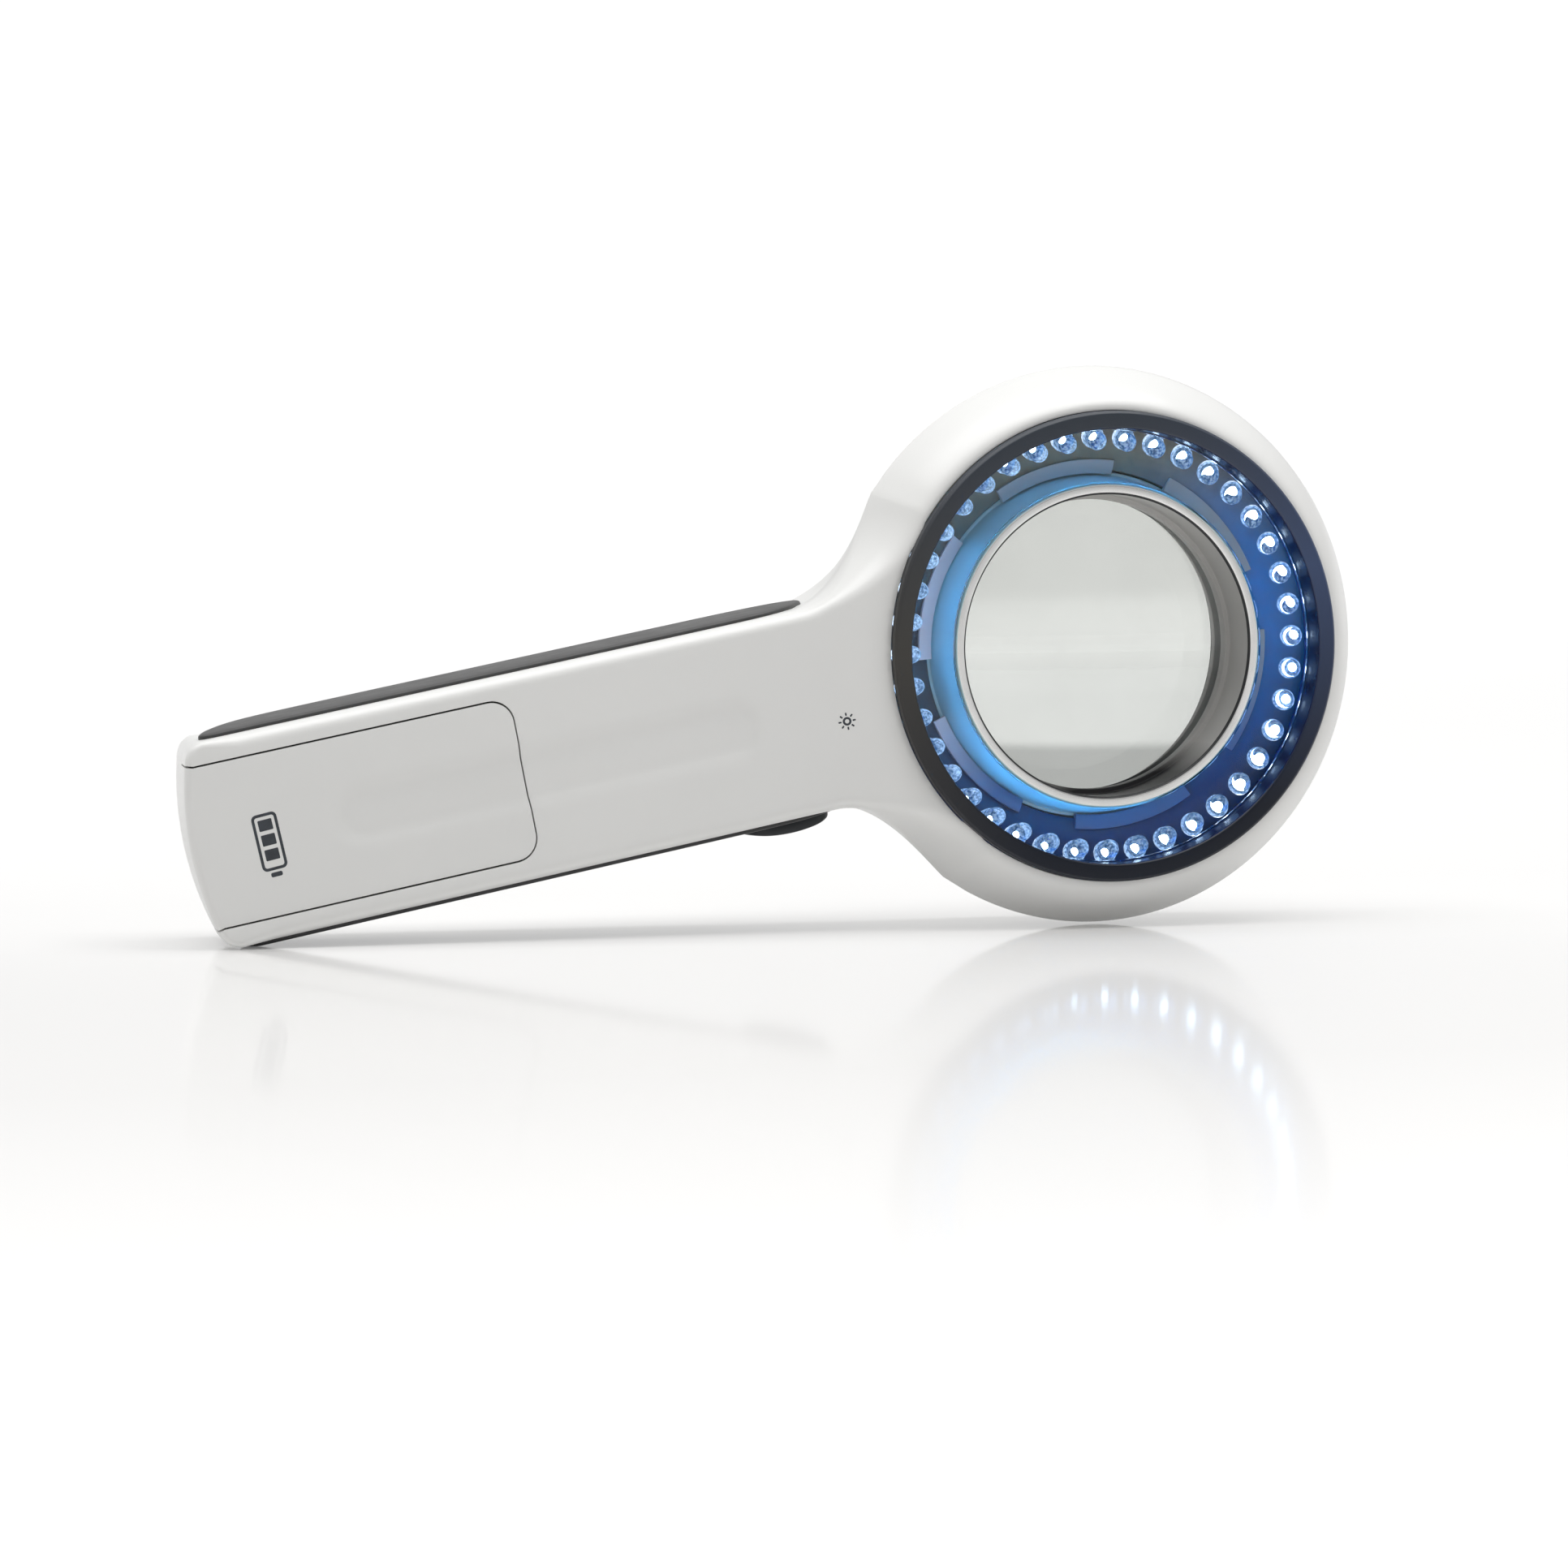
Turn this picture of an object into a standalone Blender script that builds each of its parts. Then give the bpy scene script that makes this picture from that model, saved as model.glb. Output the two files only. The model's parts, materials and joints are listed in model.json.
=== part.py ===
"""Lighted examination magnifier: a battery handle, a ring of forty diodes round a lens, and what is inside.

Every part is drawn in the device's own frame and hangs from one tilted empty. In that frame x runs along the
handle towards the head and is zero on the lens axis, y is the depth (the lighted face looks along -y), and z
runs across the handle. Lengths are metres.
"""

import math

import bmesh
import bpy
import numpy as np
from mathutils import Vector, geometry

MM = 0.001

# Body plan
HEAD_RADIUS = 44.5 * MM
HANDLE_HALF_WIDTH = 16.0 * MM
HANDLE_END = -151.3 * MM
END_ARC_RADIUS = 50.0 * MM
CORNER_RADIUS = 3.5 * MM
NECK_START = -48.6 * MM
NECK_END = (-31.8 * MM, 31.1 * MM)
END_SLANT = 0.13
DOME_LEAN = 0.64

# Body depth
DOME_Y = -13.0 * MM
HANDLE_FACE_Y = -11.0 * MM
PARTING_Y = -3.0 * MM
REAR_Y = 15.0 * MM
WALL = 1.5 * MM
SIDE_WALL = 2.2 * MM

# Battery door
DOOR_EDGE = -98.1 * MM
DOOR_HALF_WIDTH = 12.4 * MM
DOOR_CORNER = 3.5 * MM
DOOR_GAP = 0.2 * MM

# Side grips and button
GRIP_BASE = 15.05 * MM
GRIP_EDGE = 15.95 * MM
GRIP_CREST = 16.9 * MM
INLAY_GAP = 0.12 * MM
BUTTON_CENTRE = -55.25 * MM
BUTTON_DEPTH_CENTRE = -0.5 * MM
BUTTON_HALF_LENGTH = 7.15 * MM
BUTTON_HALF_DEPTH = 3.7 * MM
BUTTON_CROWN = 18.75 * MM

# Head internals
DIODE_COUNT = 40
BANKS = 4
DIODE_PHASE = -0.31
DIODE_RADIUS = 1.5 * MM
DIODE_RING_RADIUS = 32.0 * MM
DIODE_TIP_Y = -9.6 * MM
DIODE_TILT = math.radians(17.0)
NOTCH_COUNT = 6
NOTCH_PHASE = math.radians(2.7)
NOTCH_WIDTH = math.radians(19.6)

# Cells: four of the AAA size, two layers of two
CELL_LENGTH = 44.4 * MM
OUTER_PLATE = -139.15 * MM
INNER_PLATE = -92.25 * MM
CELL_PITCH = 5.35 * MM
CELL_LAYERS = (-3.25 * MM, 7.35 * MM)

SCREW_PLACES = [(-46.3, 10.8), (-46.3, -10.8), (-87.3, 9.5), (-87.3, -9.5)]

for old in list(bpy.data.objects):
    bpy.data.objects.remove(old, do_unlink=True)

PARTS = bpy.data.collections.new("lighted_magnifier")
CUTTERS = bpy.data.collections.new("cutters")
for group in (PARTS, CUTTERS):
    bpy.context.scene.collection.children.link(group)
CUTTERS.hide_render = True

FRAME = bpy.data.objects.new("device_frame", None)
PARTS.objects.link(FRAME)


def mm(values):
    return np.array(values, dtype=float) * MM


def smoothstep(value, low, high):
    t = np.clip((value - low) / (high - low), 0.0, 1.0)
    return t * t * (3.0 - 2.0 * t)


def material(name, color, roughness, metallic=0.0, transmission=0.0):
    made = bpy.data.materials.new(name + "_material")
    made.use_nodes = True
    shader = made.node_tree.nodes["Principled BSDF"]
    shader.inputs["Base Color"].default_value = (*color, 1.0)
    shader.inputs["Roughness"].default_value = roughness
    shader.inputs["Metallic"].default_value = metallic
    shader.inputs["Transmission Weight"].default_value = transmission
    return made


WHITE = ((0.82, 0.82, 0.80), 0.35)
GRIP_GREY = ((0.09, 0.085, 0.09), 0.6)
BLACK = ((0.02, 0.022, 0.025), 0.45)
SILVER = ((0.62, 0.63, 0.64), 0.3, 1.0)
NICKEL = ((0.70, 0.69, 0.66), 0.3, 1.0)
BOARD = ((0.03, 0.16, 0.08), 0.5)
CLEAR = ((0.92, 0.94, 0.96), 0.05, 0.0, 1.0)
FILTER = ((0.45, 0.46, 0.46), 0.1, 0.0, 0.9)
CARRIER = ((0.35, 0.37, 0.42), 0.4)
CELL_SLEEVE = ((0.12, 0.2, 0.32), 0.35, 0.4)


def build(name, vertices, faces, finish=None):
    """A closed mesh object; with a finish it is a part, without one it is a cutter."""
    mesh = bpy.data.meshes.new(name)
    mesh.from_pydata([tuple(v) for v in vertices], [], [tuple(f) for f in faces])
    work = bmesh.new()
    work.from_mesh(mesh)
    bmesh.ops.remove_doubles(work, verts=work.verts, dist=0.0005 * MM)
    bmesh.ops.dissolve_degenerate(work, edges=work.edges, dist=0.0001 * MM)
    bmesh.ops.recalc_face_normals(work, faces=work.faces)
    work.to_mesh(mesh)
    work.free()
    made = bpy.data.objects.new(name, mesh)
    made.parent = FRAME
    if finish is None:
        CUTTERS.objects.link(made)
        made.hide_render = True
        made.display_type = "WIRE"
        return made
    PARTS.objects.link(made)
    mesh.materials.append(material(name, *finish))
    mesh.shade_smooth()
    mesh.set_sharp_from_angle(angle=math.radians(32.0))
    return made


def clean(mesh, reach):
    """Merges points closer than the reach and drops the faces that collapse."""
    work = bmesh.new()
    work.from_mesh(mesh)
    bmesh.ops.remove_doubles(work, verts=work.verts, dist=reach)
    bmesh.ops.dissolve_degenerate(work, edges=work.edges, dist=0.2 * reach)
    work.to_mesh(mesh)
    work.free()


def boolean(target, operation, cutters):
    """Cuts or joins each cutter in turn, cleaning the mesh after every step."""
    for cutter in cutters:
        step = target.modifiers.new(cutter.name, "BOOLEAN")
        step.operation = operation
        step.solver = "EXACT"
        step.object = cutter
        solid = target.evaluated_get(bpy.context.evaluated_depsgraph_get())
        mesh = bpy.data.meshes.new_from_object(solid)
        target.modifiers.remove(step)
        target.data = mesh
        clean(mesh, 0.004 * MM)
    target.data.shade_smooth()
    target.data.set_sharp_from_angle(angle=math.radians(32.0))


def box(name, low, high, finish=None):
    low, high = mm(low), mm(high)
    corners = [(x, y, z) for x in (low[0], high[0]) for y in (low[1], high[1]) for z in (low[2], high[2])]
    faces = [(0, 1, 3, 2), (4, 6, 7, 5), (0, 4, 5, 1), (2, 3, 7, 6), (0, 2, 6, 4), (1, 5, 7, 3)]
    return build(name, corners, faces, finish)


def lathe_mesh(profile, origin, axis, segments):
    """Vertices and faces of a profile of (radius, distance) pairs turned about an axis."""
    axis = Vector(axis).normalized()
    side = axis.orthogonal().normalized()
    if abs(axis.y) > 0.99:
        side = Vector((1.0, 0.0, 0.0))
    up = axis.cross(side)
    vertices, rings = [], []
    for radius, distance in profile:
        centre = Vector(origin) + axis * float(distance)
        if radius < 1e-9:
            rings.append([len(vertices)])
            vertices.append(centre)
            continue
        rings.append(list(range(len(vertices), len(vertices) + segments)))
        for k in range(segments):
            turn = 2.0 * math.pi * k / segments
            vertices.append(centre + (side * math.cos(turn) + up * math.sin(turn)) * float(radius))
    pairs = list(zip(rings, rings[1:]))
    if len(rings[0]) > 1 and len(rings[-1]) > 1:
        pairs.append((rings[-1], rings[0]))
    faces = []
    for first, second in pairs:
        for k in range(segments):
            n = (k + 1) % segments
            if len(first) == 1:
                faces.append((first[0], second[n], second[k]))
            elif len(second) == 1:
                faces.append((first[k], first[n], second[0]))
            else:
                faces.append((first[k], first[n], second[n], second[k]))
    return vertices, faces


def turned(name, profile, finish=None, origin=(0, 0, 0), axis=(0, 1, 0), segments=64):
    vertices, faces = lathe_mesh(mm(profile), mm(origin), axis, segments)
    return build(name, vertices, faces, finish)


def tube(name, path, radius, sides, finish):
    """A round wire swept along a list of points, with flat ends."""
    path = [Vector(p) for p in path]
    normal = (path[1] - path[0]).orthogonal().normalized()
    vertices, faces = [], []
    for k, point in enumerate(path):
        heading = (path[min(k + 1, len(path) - 1)] - path[max(k - 1, 0)]).normalized()
        normal = (normal - heading * normal.dot(heading)).normalized()
        across = heading.cross(normal)
        for s in range(sides):
            turn = 2.0 * math.pi * s / sides
            vertices.append(point + (normal * math.cos(turn) + across * math.sin(turn)) * radius)
    for k in range(len(path) - 1):
        for s in range(sides):
            n = (s + 1) % sides
            faces.append((k * sides + s, k * sides + n, (k + 1) * sides + n, (k + 1) * sides + s))
    faces.append(tuple(range(sides)))
    faces.append(tuple(range((len(path) - 1) * sides, len(path) * sides)))
    return build(name, vertices, faces, finish)


# ---- body outline, seen along y ----

def body_outline():
    """Outline of the whole body, counter-clockwise from the far side of the head."""
    upper = [(HEAD_RADIUS * math.cos(t), HEAD_RADIUS * math.sin(t)) for t in np.radians(np.linspace(0, 130, 22))]
    start = np.array([NECK_START, HANDLE_HALF_WIDTH])
    pull_start = start + mm([8.5, 0.3])
    end = np.array(NECK_END)
    pull_end = end - mm([2.7, 3.7])
    for t in np.linspace(1.0, 0.0, 8):
        s = 1.0 - t
        upper.append(s ** 3 * start + 3 * s * s * t * pull_start + 3 * s * t * t * pull_end + t ** 3 * end)
    for x in np.linspace(-60, -140, 6) * MM:
        upper.append((x, HANDLE_HALF_WIDTH))
    inner = END_ARC_RADIUS - CORNER_RADIUS
    arc_centre = HANDLE_END + END_ARC_RADIUS
    corner_z = HANDLE_HALF_WIDTH - CORNER_RADIUS
    corner_x = arc_centre - math.sqrt(inner ** 2 - corner_z ** 2)
    last = math.pi - math.asin(corner_z / inner)
    for t in np.linspace(math.pi / 2, last, 5):
        upper.append((corner_x + CORNER_RADIUS * math.cos(t), corner_z + CORNER_RADIUS * math.sin(t)))
    for t in np.linspace(last, math.pi, 5)[1:]:
        upper.append((arc_centre + END_ARC_RADIUS * math.cos(t), END_ARC_RADIUS * math.sin(t)))
    upper = np.array(upper)
    upper[-1, 1] = 0.0
    lower = upper[1:-1][::-1] * (1.0, -1.0)
    return np.vstack([upper, lower])


OUTLINE = body_outline()
STEP = np.roll(OUTLINE, -1, axis=0) - np.roll(OUTLINE, 1, axis=0)
INWARD = np.stack([-STEP[:, 1], STEP[:, 0]], axis=1) / np.linalg.norm(STEP, axis=1)[:, None]
HEAD_SHARE = smoothstep(OUTLINE[:, 0], -46.0 * MM, -33.0 * MM)
END_SHARE = smoothstep(-OUTLINE[:, 0], 141.0 * MM, 146.0 * MM)


def along(handle, end, head):
    """A size that changes from the handle end, along the handle, to the head."""
    return handle + (end - handle) * END_SHARE + (head - handle) * HEAD_SHARE


def face_depth(x, z):
    """How far the front face stands in front of the middle plane, before the edges are rounded."""
    near = smoothstep(np.hypot(x, z), 37.6 * MM, 54.0 * MM)
    return -DOME_Y + (DOME_Y - HANDLE_FACE_Y) * near


def thumb_dish(x, z):
    """Depth of the long shallow finger rest pressed into the handle face."""
    away = np.hypot(x - np.clip(x, -124.0 * MM, -63.5 * MM), z)
    return 0.7 * MM * smoothstep(5.0 * MM - away, 0.0, 3.2 * MM)


def slanted(vertices):
    """Leans the handle end so that the front edge reaches furthest."""
    vertices = np.array(vertices)
    share = smoothstep(-vertices[:, 0], 136.0 * MM, 148.0 * MM)
    lean = END_SLANT * np.maximum(vertices[:, 1] + 10.0 * MM, 0.0)
    vertices[:, 0] += share * lean
    return vertices


def inside(polygon, point):
    x, z = point
    result = False
    for (x0, z0), (x1, z1) in zip(polygon, np.roll(polygon, -1, axis=0)):
        if (z0 > z) != (z1 > z) and x < (x1 - x0) * (z - z0) / (z1 - z0) + x0:
            result = not result
    return result


def cap(loop, height, extra_points=()):
    """Triangles filling a loop at height(x, z), with extra inner points, as (vertices, faces)."""
    count = len(loop)
    margin = [p for p in extra_points if inside(loop, p)
              and np.min(np.hypot(*(loop - p).T)) > 0.7 * MM]
    flat = [Vector(p) * 1000.0 for p in [*loop, *margin]]
    edges = [(k, (k + 1) % count) for k in range(count)]
    points, _, faces = geometry.delaunay_2d_cdt(flat, edges, [], 0, 1e-5)[:3]
    points = [np.array(p) * MM for p in points]
    kept = [f for f in faces if inside(loop, sum(points[k] for k in f) / len(f))]
    return [(p[0], height(p[0], p[1]), p[1]) for p in points], kept


def hull(name, rows, first_height, last_height, extra_points=(), finish=None):
    """A closed solid from a stack of loops: each row is (inset, y) for every outline point."""
    vertices, faces = [], []
    count = len(OUTLINE)
    for inset, y in rows:
        ring = OUTLINE + INWARD * inset[:, None]
        vertices.extend((x, depth, z) for (x, z), depth in zip(ring, y))
    for k in range(len(rows) - 1):
        for i in range(count):
            n = (i + 1) % count
            faces.append((k * count + i, k * count + n, (k + 1) * count + n, (k + 1) * count + i))
    for row, height, points in ((rows[0], first_height, ()), (rows[-1], last_height, extra_points)):
        loop = OUTLINE + INWARD * row[0][:, None]
        more, patch = cap(loop, height, points)
        base = len(vertices)
        vertices.extend(more)
        faces.extend(tuple(base + k for k in f) for f in patch)
    return build(name, slanted(vertices), faces, finish)


def edge_curve(s):
    """Shares of the edge's width and drop at step s: a quarter round on the handle, a leaning dome on the head."""
    round_width, round_drop = 1.0 - math.cos(0.5 * math.pi * s), math.sin(0.5 * math.pi * s)
    dome_width, dome_drop = 2.0 * s * (1.0 - s) * DOME_LEAN + s * s, 1.0 - (1.0 - s) ** 2
    return (round_width + (dome_width - round_width) * HEAD_SHARE,
            round_drop + (dome_drop - round_drop) * HEAD_SHARE)


def front_rows(start_y, side_inset, depth_inset, steps):
    """Loops of the front shell from the parting plane over the rounded edge to the face."""
    width = along(2.2 * MM, 1.1 * MM, 6.9 * MM)
    drop = along(2.6 * MM, 1.1 * MM, 9.8 * MM)
    top = OUTLINE + INWARD * (width + side_inset)[:, None]
    level = face_depth(top[:, 0], top[:, 1]) - depth_inset
    rows = [(side_inset, np.full(len(OUTLINE), start_y))]
    for s in steps:
        across, down = edge_curve(s)
        rows.append((side_inset + width * across, -(level - drop) - drop * down))
    return rows


def dish_points():
    """Points that carry the shape of the finger rest and of the rise towards the bezel."""
    points = []
    for reach in mm([4.9, 3.9, 2.7, 1.7]):
        for x in np.linspace(-124.0, -63.5, 8) * MM:
            points += [(x, reach), (x, -reach)]
        for t in np.radians([30, 60, 90, 120, 150]):
            points.append((-63.5 * MM + reach * math.sin(t), reach * math.cos(t)))
            points.append((-124.0 * MM - reach * math.sin(t), reach * math.cos(t)))
    for radius in mm([41.0, 45.0, 49.0, 54.0]):
        for t in np.radians(np.arange(134, 227, 6)):
            points.append((radius * math.cos(t), radius * math.sin(t)))
    return [np.array(p) for p in points]


def front_face_y(x, z):
    return -face_depth(x, z) + thumb_dish(x, z)


FRONT_ROWS = front_rows(PARTING_Y, np.zeros(len(OUTLINE)), 0.0, [0.0, 0.25, 0.5, 0.75, 1.0])
CAVITY_ROWS = front_rows(-2.0 * MM, along(SIDE_WALL, WALL, WALL), WALL, [0.0, 0.5, 1.0])


def rear_rows(table):
    """Loops of the rear shell from (handle, end, head) insets and a depth."""
    return [(along(*mm(insets)), np.full(len(OUTLINE), y * MM)) for insets, y in table]


REAR_ROWS = rear_rows([((0.3, 0.2, 0.4), -2.95), ((0.4, 0.25, 1.5), 2.0), ((0.6, 0.3, 3.9), 8.0),
                       ((1.3, 0.8, 5.4), 12.0),
                       ((2.6, 1.6, 7.2), 14.2), ((4.5, 2.8, 9.5), 15.0)])
REAR_CAVITY_ROWS = rear_rows([((2.3, 1.7, 2.0), -3.5), ((2.6, 1.9, 6.3), 9.5), ((3.7, 2.8, 8.4), 13.5)])


def level_at(y):
    return lambda x, z: y


def door_shape(edge, half_width, corner):
    """Plan of the battery door: rounded at the neck end, open-ended past the handle end."""
    points = [(-170.0 * MM, -half_width), (edge - corner, -half_width)]
    for t in np.linspace(-90, 0, 7)[1:]:
        turn = math.radians(t)
        points.append((edge - corner + corner * math.cos(turn), -half_width + corner + corner * math.sin(turn)))
    mirrored = [(x, -z) for x, z in reversed(points)]
    return points + mirrored


def prism(name, plan, low, high, finish=None, axis="y"):
    """A plan outline carried straight through: along y from (x, z), or along z from (x, y)."""
    count = len(plan)
    if axis == "y":
        vertices = [(x, level, z) for level in (low, high) for x, z in plan]
    else:
        vertices = [(x, y, level) for level in (low, high) for x, y in plan]
    faces = [tuple(range(count)), tuple(range(count, 2 * count))]
    faces += [(k, (k + 1) % count, count + (k + 1) % count, count + k) for k in range(count)]
    return build(name, vertices, faces, finish)


# ---- side grips and button, drawn on the lower side and mirrored for the upper ----

GRIP_PLAN = mm([(-146.2, -6.9), (-144.6, -7.9), (-141.0, -8.1), (-125.0, -8.1), (-105.0, -8.1), (-85.0, -8.1),
                (-68.0, -8.1), (-56.0, -7.7), (-50.3, -5.6), (-47.1, -2.6), (-45.7, 0.2), (-46.2, 2.6), (-49.3, 5.2),
                (-56.0, 6.7), (-68.0, 7.0), (-85.0, 7.0), (-105.0, 7.0), (-125.0, 7.0), (-135.0, 6.2),
                (-141.0, 3.2), (-144.8, -1.5), (-146.2, -5.2)])
GRIP_MIDDLE = mm([-96.5, -0.6])


def grip_ring(spread_x, spread_y):
    return GRIP_MIDDLE + (GRIP_PLAN - GRIP_MIDDLE) * (spread_x, spread_y)


def stadium(half_length, half_depth, centre=BUTTON_CENTRE, count=6):
    """A long rounded outline in x and y about the button centre."""
    straight = half_length - half_depth
    points = []
    for middle, start in ((centre + straight, -90.0), (centre - straight, 90.0)):
        for t in np.radians(np.linspace(start, start + 180.0, count)):
            points.append((middle + half_depth * math.cos(t), BUTTON_DEPTH_CENTRE + half_depth * math.sin(t)))
    return np.array(points)


def stack(name, loops, finish=None, sign=-1.0, lean=False):
    """A solid from equal-length (x, y) loops, each at a height across the handle."""
    count = len(loops[0][0])
    vertices, faces = [], []
    for plan, height in loops:
        heights = height if np.ndim(height) else np.full(count, height)
        vertices.extend((x, y, sign * h) for (x, y), h in zip(plan, heights))
    if lean:
        vertices = slanted(vertices)
    for k in range(len(loops) - 1):
        for i in range(count):
            n = (i + 1) % count
            faces.append((k * count + i, k * count + n, (k + 1) * count + n, (k + 1) * count + i))
    faces.append(tuple(range(count)))
    faces.append(tuple(range((len(loops) - 1) * count, len(loops) * count)))
    return build(name, vertices, faces, finish)


def side_grip(name, sign):
    rise = GRIP_CREST - GRIP_EDGE
    loops = [(grip_ring(1.0, 1.0), GRIP_BASE), (grip_ring(1.0, 1.0), GRIP_EDGE),
             (grip_ring(0.985, 0.86), GRIP_EDGE + 0.45 * rise), (grip_ring(0.955, 0.6), GRIP_EDGE + 0.8 * rise),
             (grip_ring(0.90, 0.25), GRIP_CREST)]
    return stack(name, loops, GRIP_GREY, sign, lean=True)


def grip_pocket(name, sign):
    reach = 1.0 + INLAY_GAP / (49.0 * MM)
    depth = 1.0 + INLAY_GAP / (7.5 * MM)
    plan = grip_ring(reach, depth)
    return stack(name, [(plan, GRIP_BASE - 0.1 * MM), (plan, 20.0 * MM)], None, sign, lean=True)


pockets = [grip_pocket("upper_grip_pocket", 1.0), grip_pocket("lower_grip_pocket", -1.0)]
stem_hole = stack("stem_hole", [(stadium(4.6 * MM, 2.5 * MM), 10.0 * MM), (stadium(4.6 * MM, 2.5 * MM), 20.0 * MM)])
cap_hole_plan = stadium(BUTTON_HALF_LENGTH + 0.3 * MM, BUTTON_HALF_DEPTH + 0.3 * MM)
cap_hole = stack("cap_hole", [(cap_hole_plan, 14.0 * MM), (cap_hole_plan, 20.0 * MM)])

side_grip("side_grip_upper", 1.0)
lower_grip = side_grip("side_grip_lower", -1.0)
boolean(lower_grip, "DIFFERENCE", [cap_hole])


# ---- housings and battery door ----

front_cavity = hull("front_cavity", CAVITY_ROWS, level_at(-2.0 * MM),
                    lambda x, z: -face_depth(x, z) + WALL, dish_points())
rear_cavity = hull("rear_cavity", REAR_CAVITY_ROWS, level_at(-3.5 * MM), level_at(13.5 * MM))
door_hole = prism("door_hole", door_shape(DOOR_EDGE + DOOR_GAP, DOOR_HALF_WIDTH + DOOR_GAP,
                                          DOOR_CORNER + DOOR_GAP), -20.0 * MM, -2.0 * MM)
bezel_hole = turned("bezel_hole", [(0, -20), (35.5, -20), (35.5, -8), (0, -8)], segments=60)

front_bosses, pilot_holes, rear_bosses, screw_holes = [], [], [], []
for number, (x, z) in enumerate(SCREW_PLACES, start=1):
    place = (x, 0, z)
    front_bosses.append(turned(f"front_boss_{number}", [(0, -10.2), (2.4, -10.2), (2.4, -3.0), (0, -3.0)],
                               None, place, segments=12))
    pilot_holes.append(turned(f"pilot_hole_{number}", [(0, -9.0), (1.15, -9.0), (1.15, -2.0), (0, -2.0)],
                              None, place, segments=12))
    rear_bosses.append(turned(f"rear_boss_{number}", [(0, -2.9), (3.1, -2.9), (3.1, 14.2), (0, 14.2)],
                              None, place, segments=12))
    screw_holes.append(turned(f"screw_hole_{number}", [(0, -4), (1.2, -4), (1.2, 11), (2.2, 11), (2.2, 17), (0, 17)],
                              None, place, segments=12))
    turned(f"housing_screw_{number}", [(0, -8.5), (0.9, -8.0), (0.9, 11.05), (1.95, 11.05), (1.95, 12.4),
                                       (1.2, 12.9), (0, 12.9)], NICKEL, place, segments=10)

front_housing = hull("front_housing", FRONT_ROWS, level_at(PARTING_Y), front_face_y, dish_points(), WHITE)
boolean(front_housing, "DIFFERENCE", [front_cavity])
boolean(front_housing, "UNION", front_bosses)
boolean(front_housing, "DIFFERENCE", [*pilot_holes, bezel_hole, door_hole, *pockets])

collar = turned("barrel_collar", [(28.0, 3.0), (29.7, 3.0), (29.7, 14.2), (28.0, 14.2)])
rear_hole = turned("rear_hole", [(0, -5), (28.2, -5), (28.2, 20), (0, 20)])
rear_housing = hull("rear_housing", REAR_ROWS, level_at(-2.95 * MM), level_at(REAR_Y), (), WHITE)
boolean(rear_housing, "DIFFERENCE", [rear_cavity])
boolean(rear_housing, "UNION", [collar, *rear_bosses])
boolean(rear_housing, "DIFFERENCE", [rear_hole, *screw_holes, *pockets, stem_hole])

door_frame = bpy.data.objects.new("battery_door_frame", None)
PARTS.objects.link(door_frame)
door_frame.parent = FRAME
door = hull("battery_door", FRONT_ROWS, level_at(PARTING_Y), front_face_y, dish_points(), WHITE)
door.parent = door_frame
door_plan = prism("door_plan", door_shape(DOOR_EDGE, DOOR_HALF_WIDTH, DOOR_CORNER), -20.0 * MM, -3.3 * MM)
latch = box("door_latch_tongue", (-101.0, -9.9, -4.0), (-98.6, -8.85, 4.0))
latch_tip = box("door_latch_tip", (-99.4, -9.3, -4.0), (-96.0, -8.85, 4.0))
boolean(door, "DIFFERENCE", [front_cavity])
boolean(door, "INTERSECT", [door_plan])
boolean(door, "UNION", [latch, latch_tip])


# ---- power button and its switch, sliding across the handle ----

def sliding_frame(name, height):
    made = bpy.data.objects.new(name, None)
    PARTS.objects.link(made)
    made.parent = FRAME
    made.location = (BUTTON_CENTRE, BUTTON_DEPTH_CENTRE, height * MM)
    return made


def moved_to(child, parent):
    """Hangs a part from an empty without changing where it stands."""
    child.parent = parent
    child.location = -parent.location


cap_plan = stadium(BUTTON_HALF_LENGTH, BUTTON_HALF_DEPTH)
soft = stadium(BUTTON_HALF_LENGTH - 0.45 * MM, BUTTON_HALF_DEPTH - 0.5 * MM)
middle = stadium(BUTTON_HALF_LENGTH - 1.6 * MM, BUTTON_HALF_DEPTH - 1.9 * MM)
stem_plan = stadium(4.2 * MM, 2.1 * MM)
button = stack("power_button", [(stem_plan, 12.8 * MM), (stem_plan, 16.0 * MM), (cap_plan, 16.0 * MM),
                                (cap_plan, BUTTON_CROWN - 1.2 * MM), (soft, BUTTON_CROWN - 0.4 * MM),
                                (middle, BUTTON_CROWN)], BLACK)
button_frame = sliding_frame("power_button_frame", -16.0)
moved_to(button, button_frame)

SWITCH_PLACE = (BUTTON_CENTRE / MM, BUTTON_DEPTH_CENTRE / MM, 0)
plunger_frame = sliding_frame("switch_plunger_frame", -12.0)
plunger = turned("switch_plunger", [(0, 10.6), (1.6, 10.6), (1.6, 12.7), (0, 12.7)], ((0.75, 0.3, 0.1), 0.5),
                 SWITCH_PLACE, (0, 0, -1), 16)
moved_to(plunger, plunger_frame)

tact_switch = box("tact_switch", (-58.45, -3.4, -11.6), (-52.05, 2.2, -7.6), SILVER)
bore = turned("plunger_bore", [(0, 9.3), (1.9, 9.3), (1.9, 13), (0, 13)], None, SWITCH_PLACE, (0, 0, -1), 16)
boolean(tact_switch, "DIFFERENCE", [bore])
box("control_board", (-83.6, 2.4, -11.8), (-50.5, 4.0, 11.8), BOARD)
box("driver_chip", (-74.0, 0.9, -2.5), (-69.0, 2.35, 2.5), BLACK)
turned("power_inductor", [(0, -1.0), (3.0, -1.0), (3.0, 2.35), (0, 2.35)], ((0.05, 0.05, 0.055), 0.55),
       (-64.5, 0, 5.5), segments=20)


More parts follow.
